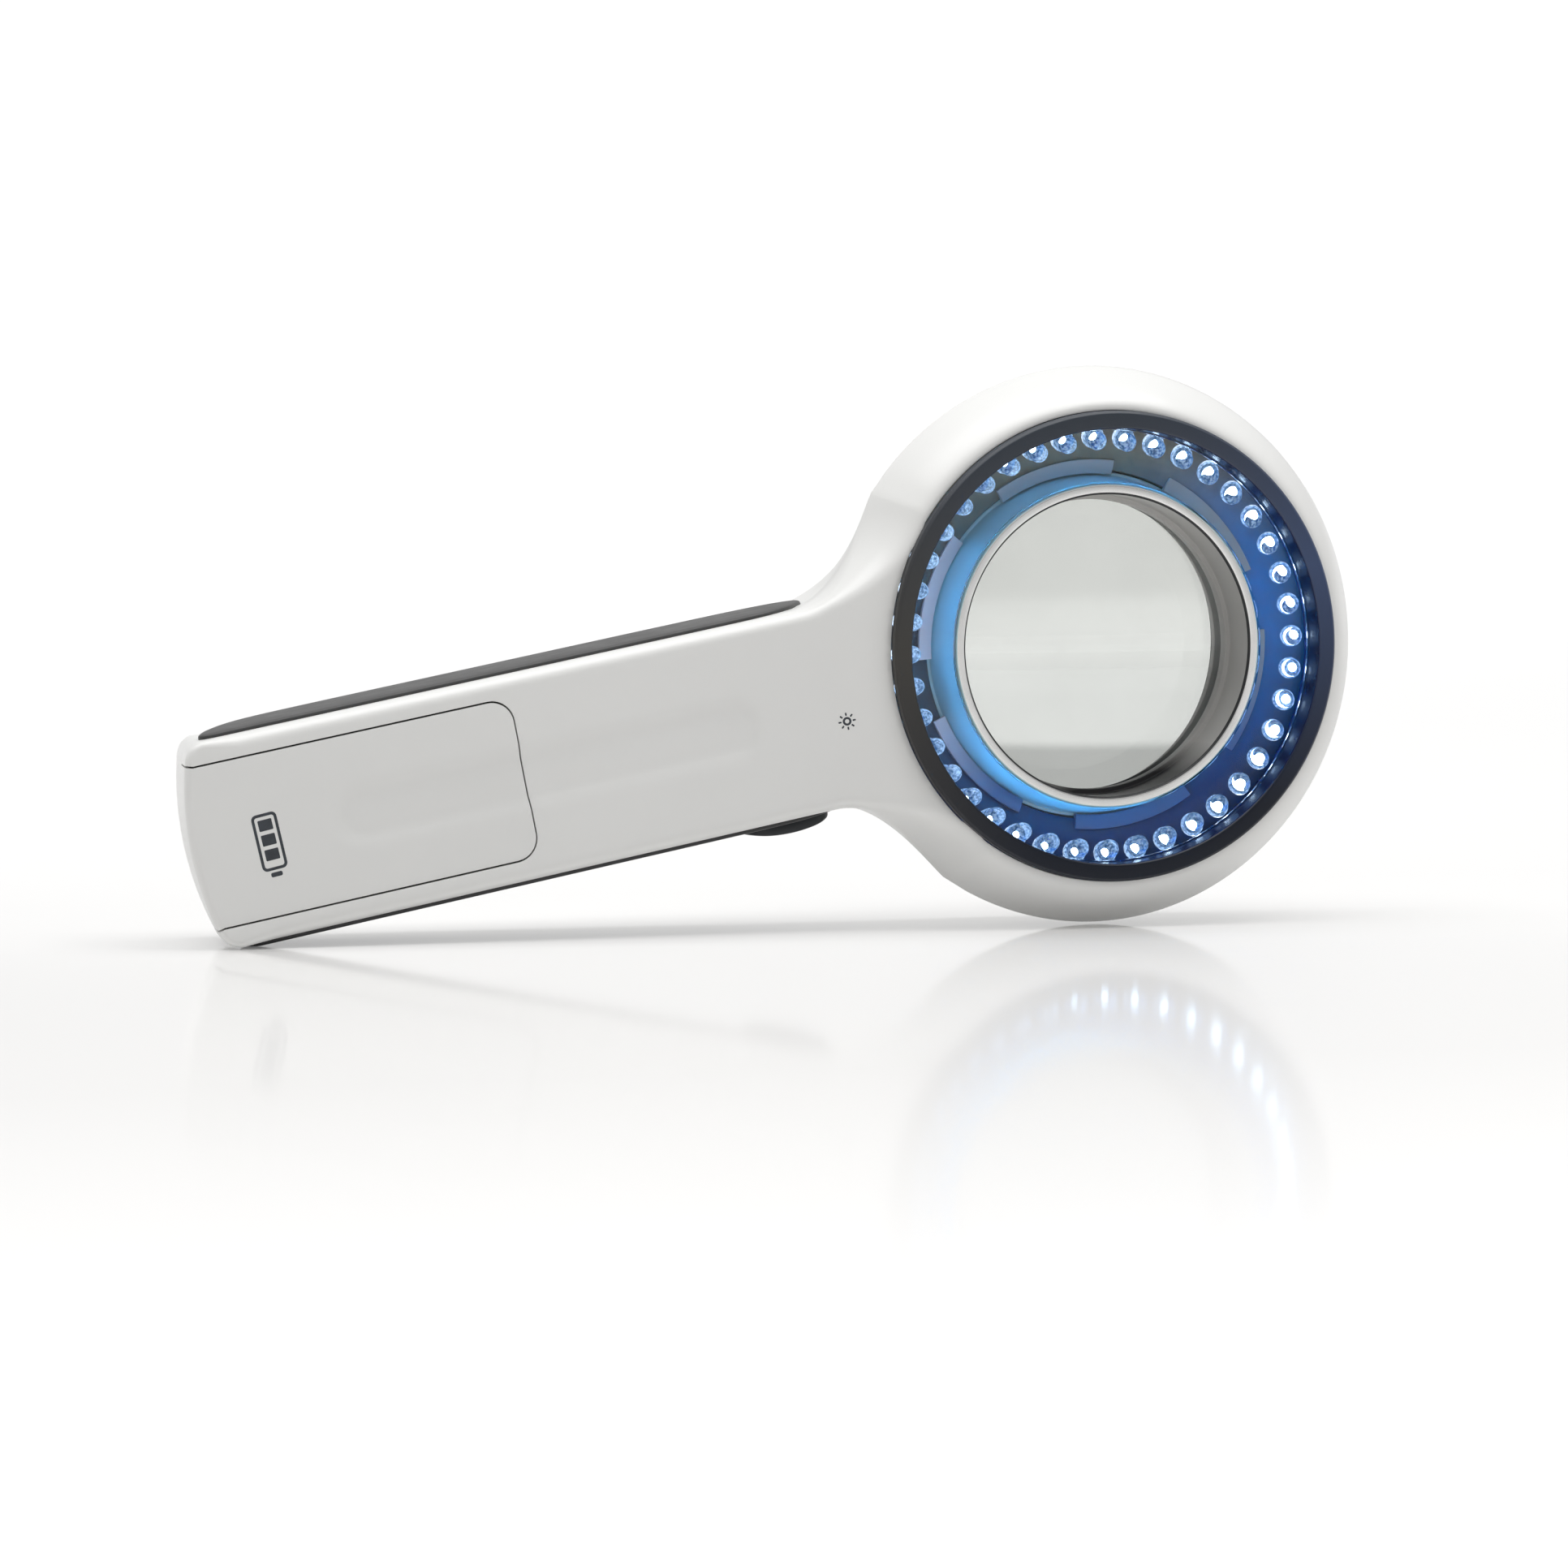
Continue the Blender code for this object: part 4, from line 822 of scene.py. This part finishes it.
ring_piece("rear_ring", [(24.0, 10.55), (28.0, 10.55), (28.0, 15.0), (26.6, 15.0), (24.0, 12.4)], BLACK, 0.2,
           replaced=["rear_bezel"], slot="rear_bezel")
ring_piece("retaining_ring", [(23.3, 4.4), (25.1, 4.4), (25.1, 7.3), (23.3, 7.3)], BORE, 0.12,
           replaced=["lens_retainer"], slot="lens_retainer")


def disc_piece(name, profile, surface, **facts):
    mesh = mesh_from(name, *lathe(profile, 160, closed=False))
    smooth(mesh, 30.0)
    return add(name, mesh, surface, **facts)


reach = np.linspace(0.0, 25.0, 22)
lens_profile = [(r, 0.6 - 2.5 * (1.0 - (r / 25.0) ** 2)) for r in reach]
lens_profile += [(r, 3.8 + 2.5 * (1.0 - (r / 25.0) ** 2)) for r in reach[::-1]]
disc_piece("lens_element", lens_profile, LENS, replaced=["lens"], slot="lens")
disc_piece("analyser_sheet", [(0, 7.65), (26.3, 7.65), (26.4, 7.75), (26.4, 8.25), (26.3, 8.35), (0, 8.35)],
           ANALYSER, replaced=["analyser_filter"], slot="analyser_filter")
disc_piece("window_pane", [(0, 8.5), (26.2, 8.5), (26.4, 8.7), (26.4, 9.8), (26.2, 10.0), (0, 10.0)],
           WINDOW, replaced=["rear_window"], slot="rear_window")

# ---- head: floor of the light well and the diodes ----

NOTCHES = 6
NOTCH_TURN = math.radians(14.0)
NOTCH_HALF = math.radians(9.8)


def flange_mesh():
    """A pale ring at the foot of the barrel with square notches that show the dark floor."""
    vertices, faces = [], []
    steps = 24
    for number in range(NOTCHES):
        start = NOTCH_TURN - TILT + 2.0 * math.pi * number / NOTCHES + NOTCH_HALF
        end = start + 2.0 * math.pi / NOTCHES - 2.0 * NOTCH_HALF
        section = mm(eased([(27.5, -3.85), (29.6, -4.45), (29.6, -3.3), (27.5, -2.9)], 0.12, 2))
        base = len(vertices)
        for turn in np.linspace(start, end, steps):
            vertices.extend((r * math.cos(turn), y, r * math.sin(turn)) for r, y in section)
        width = len(section)
        for k in range(steps - 1):
            for s in range(width):
                n = (s + 1) % width
                faces.append((base + k * width + s, base + k * width + n, base + (k + 1) * width + n,
                              base + (k + 1) * width + s))
        faces += [tuple(base + s for s in range(width)), tuple(base + (steps - 1) * width + s for s in range(width))]
    mesh = mesh_from("flange_segments", vertices, faces)
    smooth(mesh)
    return mesh


add("flange_segments", flange_mesh(), FLANGE)
ring_piece("well_floor", [(28.1, -3.4), (34.3, -5.37), (36.5, -6.05), (36.5, -4.9), (28.1, -2.3)],
           CARRIER, 0.15, replaced=["diode_carrier"], slot="diode_carrier")

TIP = 1.5
dome = [(0.0, 0.0)] + [(TIP * math.sin(t), TIP * (1.0 - math.cos(t))) for t in np.radians(np.linspace(9, 90, 10))]
dome += [(TIP, 3.2), (TIP + 0.28, 3.25), (TIP + 0.28, 4.05), (0.0, 4.05)]
cup = [(0.30, 2.75), (0.62, 2.35), (0.78, 2.25), (0.80, 2.32), (0.80, 3.9), (0.30, 3.9)]
die = [(0.0, 2.3), (0.14, 2.31), (0.24, 2.36), (0.3, 2.44), (0.24, 2.7), (0.0, 2.7)]
DIODES = []
for k in range(DIODE_COUNT):
    turn = DIODE_PHASE + 2.0 * math.pi * k / DIODE_COUNT
    outward = Vector((math.cos(turn), 0.0, math.sin(turn)))
    tip = outward * DIODE_RING_RADIUS + Vector((0.0, DIODE_TIP_Y, 0.0))
    DIODES.append((tip, outward * math.sin(DIODE_TILT) + Vector((0.0, math.cos(DIODE_TILT), 0.0))))


def diode_mesh(name, profile, which, segments):
    mesh = mesh_from(name, *joined([lathe(profile, segments, tip, axis, closed=profile[0][0] > 0.0)
                                    for tip, axis in which]), weld=0.0005 * MM)
    smooth(mesh, 40.0)
    return mesh


for bank in range(4):
    ten = DIODES[bank * 10:bank * 10 + 10]
    domes = add(f"diode_domes_{bank + 1}", diode_mesh("diode_domes", dome, ten, 32), EPOXY,
        replaced=[f"diode_bank_{bank + 1}"], slot=f"diode_bank_{bank + 1}")
    domes.visible_glossy = False
cups = add("diode_cups", diode_mesh("diode_cups", cup, DIODES, 20), CUP)
dies = add("diode_dies", diode_mesh("diode_dies", die, DIODES, 20), DIE)
cups.visible_glossy = False
dies.visible_glossy = False

# ---- cells and CAD nodes that keep their shape ----

for number in range(1, 5):
    low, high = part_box(f"cell_{number}")
    heading = 1.0 if number in (1, 4) else -1.0
    back = DEVICE.inverted() @ ((low + high) / 2)
    start = Vector((back.x - heading * 22.2 * MM, back.y, back.z))
    can = [(0, 0.05), (3.9, 0.05), (4.6, 0.0), (4.9, 0.15), (5.1, 0.5), (5.15, 0.9), (5.15, 42.5), (5.05, 42.9),
           (4.5, 43.1), (4.4, 43.35), (2.8, 43.4), (2.7, 43.6), (2.6, 44.25), (2.3, 44.4), (0, 44.4)]
    mesh = mesh_from("cell", *lathe(can, 64, start, (heading, 0, 0), closed=False))
    smooth(mesh, 35.0)
    made = add(f"battery_{number}", mesh, [SLEEVE, NICKEL], replaced=[f"cell_{number}"], slot=f"cell_{number}")
    for face in mesh.polygons:
        radius = math.hypot(face.center.y - start.y, face.center.z - start.z)
        face.material_index = 0 if radius > 4.75 * MM else 1

KEPT = {
    "battery_tray": BLACK, "control_board": BOARD, "diode_board": BOARD, "driver_chip": CHIP,
    "power_inductor": FERRITE, "tact_switch": TIN, "switch_plunger": PLUNGER,
    "wire_battery_positive": RED_WIRE, "wire_diode_positive": RED_WIRE,
    "wire_battery_negative": BLACK_WIRE, "wire_diode_negative": BLACK_WIRE,
    "contact_plate_inner": NICKEL, "contact_plate_outer": NICKEL,
}
for number in range(1, 5):
    KEPT[f"housing_screw_{number}"] = NICKEL
    KEPT[f"contact_spring_{number}"] = NICKEL
for node, surface in KEPT.items():
    kept = frame["nodes"][node]
    kept.data.materials.clear()
    kept.data.materials.append(surface.material)

# ---- printed marks ----


def mark(name, shapes, x, z, turn, body):
    """Flat printed shapes, laid just above the handle face: each shape is a closed outline with optional holes."""
    rotate = np.array([[math.cos(turn), -math.sin(turn)], [math.sin(turn), math.cos(turn)]])
    parts = []
    for outer, holes in shapes:
        place = [mm(loop) @ rotate.T + (x, z) for loop in (outer, *holes)]
        parts.append(patch(place[0], place[1:], lambda px, pz: front_face_y(px, pz) - 0.015 * MM, 0.5 * MM))
    vertices, faces = joined(parts)
    mesh = mesh_from(name, vertices, faces, 0.0005 * MM)
    if sum(p.normal.y for p in mesh.polygons) > 0:
        mesh.flip_normals()
    mesh = apply_modifiers(mesh, ("SOLIDIFY", {"thickness": 0.03 * MM, "offset": -1.0}))
    return add(name, mesh, INK, body=body)


def rounded_box(width, height, corner, steps=6):
    points = []
    for sx, sz, start in ((1, 1, 0), (-1, 1, 90), (-1, -1, 180), (1, -1, 270)):
        for t in np.radians(np.linspace(start, start + 90, steps)):
            points.append((sx * (width / 2 - corner) + corner * math.cos(t),
                           sz * (height / 2 - corner) + corner * math.sin(t)))
    return np.array(points)


case = (rounded_box(8.8, 4.0, 0.8), [rounded_box(7.9, 3.1, 0.4)])
nub = (rounded_box(0.7, 1.8, 0.25) + (5.1, 0.0), [])
bars = [(rounded_box(1.7, 2.2, 0.15) + (dx, 0.0), []) for dx in (-2.6, -0.3, 2.0)]
mark("battery_mark", [case, nub, *bars], -139.3 * MM, -1.0 * MM, math.radians(-88.0), "battery_door")

rays = []
for k in range(8):
    t = 2.0 * math.pi * k / 8
    spin = np.array([[math.cos(t), -math.sin(t)], [math.sin(t), math.cos(t)]])
    rays.append(((rounded_box(0.5, 0.26, 0.1, 4) + (1.12, 0.0)) @ spin.T, []))
mark("lamp_mark", [(circle(0.68, 30), [circle(0.34, 24)]), *rays], -45.6 * MM, -2.4 * MM, 0.0, "body")

# ---- stage, light and camera ----


floor_mesh = bpy.data.meshes.new("floor")
floor_mesh.from_pydata([(-8, -4, -0.0002), (8, -4, -0.0002), (8, 9, -0.0002), (-8, 9, -0.0002)], [], [(0, 1, 2, 3)])
floor = bpy.data.objects.new("floor", floor_mesh)
bpy.context.scene.collection.objects.link(floor)
stage = Surface("stage", (0.72, 0.712, 0.702), 0.5, Specular_IOR_Level=0.2)
stage.mottle(0.004, 3.0)
x, y, _ = stage.split()
stage.shader.inputs["Emission Color"].default_value = (1.0, 1.0, 1.0, 1.0)
far = stage.span(y, 0.05, 0.6, 0.08, 1.6)
near = stage.span(y, 0.34, 0.10, -0.6, -0.2)
stage.tree.links.new(stage.math("ADD", far, near), stage.shader.inputs["Emission Strength"])
polish = stage.node("BsdfGlossy", Color=(1, 1, 1, 1), Roughness=0.07)
blend = stage.node("MixShader", _0=stage.span(y, 0.0, 0.36, -0.40, -0.01), _1=stage.shader.outputs[0],
                   _2=polish.outputs[0])
stage.tree.links.new(blend.outputs[0], stage.tree.nodes["Material Output"].inputs["Surface"])
floor_mesh.materials.append(stage.material)


def studio():
    """White behind the object up to a low ceiling, dimmer overhead and dimmest in front."""
    world = bpy.data.worlds.new("studio")
    world.use_nodes = True
    tree = world.node_tree
    tree.nodes.clear()

    def ramp(value, low, high, start, end):
        made = tree.nodes.new("ShaderNodeMapRange")
        made.interpolation_type = "SMOOTHSTEP"
        tree.links.new(value, made.inputs["Value"])
        for socket, number in (("From Min", start), ("From Max", end), ("To Min", low), ("To Max", high)):
            made.inputs[socket].default_value = number
        return made.outputs["Result"]

    def multiply(a, b):
        made = tree.nodes.new("ShaderNodeMath")
        made.operation = "MULTIPLY"
        tree.links.new(a, made.inputs[0])
        tree.links.new(b, made.inputs[1])
        return made.outputs[0]

    parts = tree.nodes.new("ShaderNodeSeparateXYZ")
    tree.links.new(tree.nodes.new("ShaderNodeTexCoord").outputs["Generated"], parts.inputs[0])
    strength = multiply(ramp(parts.outputs["Y"], 0.47, 1.06, -0.3, 0.6),
                        ramp(parts.outputs["Z"], 1.0, 0.6, 0.078, 0.094))
    sky = tree.nodes.new("ShaderNodeBackground")
    sky.inputs["Color"].default_value = (1.0, 1.0, 1.0, 1.0)
    tree.links.new(strength, sky.inputs["Strength"])
    tree.links.new(sky.outputs[0], tree.nodes.new("ShaderNodeOutputWorld").inputs[0])
    bpy.context.scene.world = world


studio()


def light(name, kind, place, aim, energy, size=0.0, color=(1.0, 1.0, 1.0)):
    data = bpy.data.lights.new(name, kind)
    data.energy = energy
    data.color = color
    if kind == "AREA":
        data.shape = "RECTANGLE"
        data.size, data.size_y = size
    else:
        data.shadow_soft_size = size
    made = bpy.data.objects.new(name, data)
    bpy.context.scene.collection.objects.link(made)
    made.location = place
    if aim is not None:
        made.rotation_euler = (Vector(aim) - Vector(place)).to_track_quat("-Z", "Y").to_euler()
    return made


light("overhead", "AREA", (0.0, -0.08, 1.1), (0.0, 0.0, 0.05), 13.0, (1.5, 0.8))
light("head_fill", "AREA", (0.10, -0.16, 0.36), (0.052, 0.0, 0.08), 0.10, (0.12, 0.12))
DIODE_BLUE = (0.06, 0.45, 1.0)
for tip, axis in DIODES:
    place = DEVICE @ (tip - axis * (0.3 * MM))
    spot = light("diode_light", "POINT", place, None, 0.0018, 0.4 * MM, DIODE_BLUE)
    spot.visible_camera = False
    spot.visible_glossy = False
    spot.visible_transmission = False

camera = bpy.data.objects.new("camera", bpy.data.cameras.new("camera"))
bpy.context.scene.collection.objects.link(camera)
camera.data.lens = 135.0
camera.data.sensor_width = 36.0
camera.data.clip_end = 60.0
camera.location = (-0.2842, -0.8822, 0.0764)
aim = Vector((0.00073, -0.003, 0.02303))
camera.rotation_euler = (aim - camera.location).to_track_quat("-Z", "Y").to_euler()
bpy.context.scene.camera = camera
bpy.context.scene.view_settings.view_transform = "Standard"

# the tilt goes into the meshes, so that each piece's box lies along the row frame
for piece in PIECES:
    piece.data.transform(piece.matrix_world)
    piece.matrix_world = Matrix.Identity(4)
bpy.context.view_layer.update()
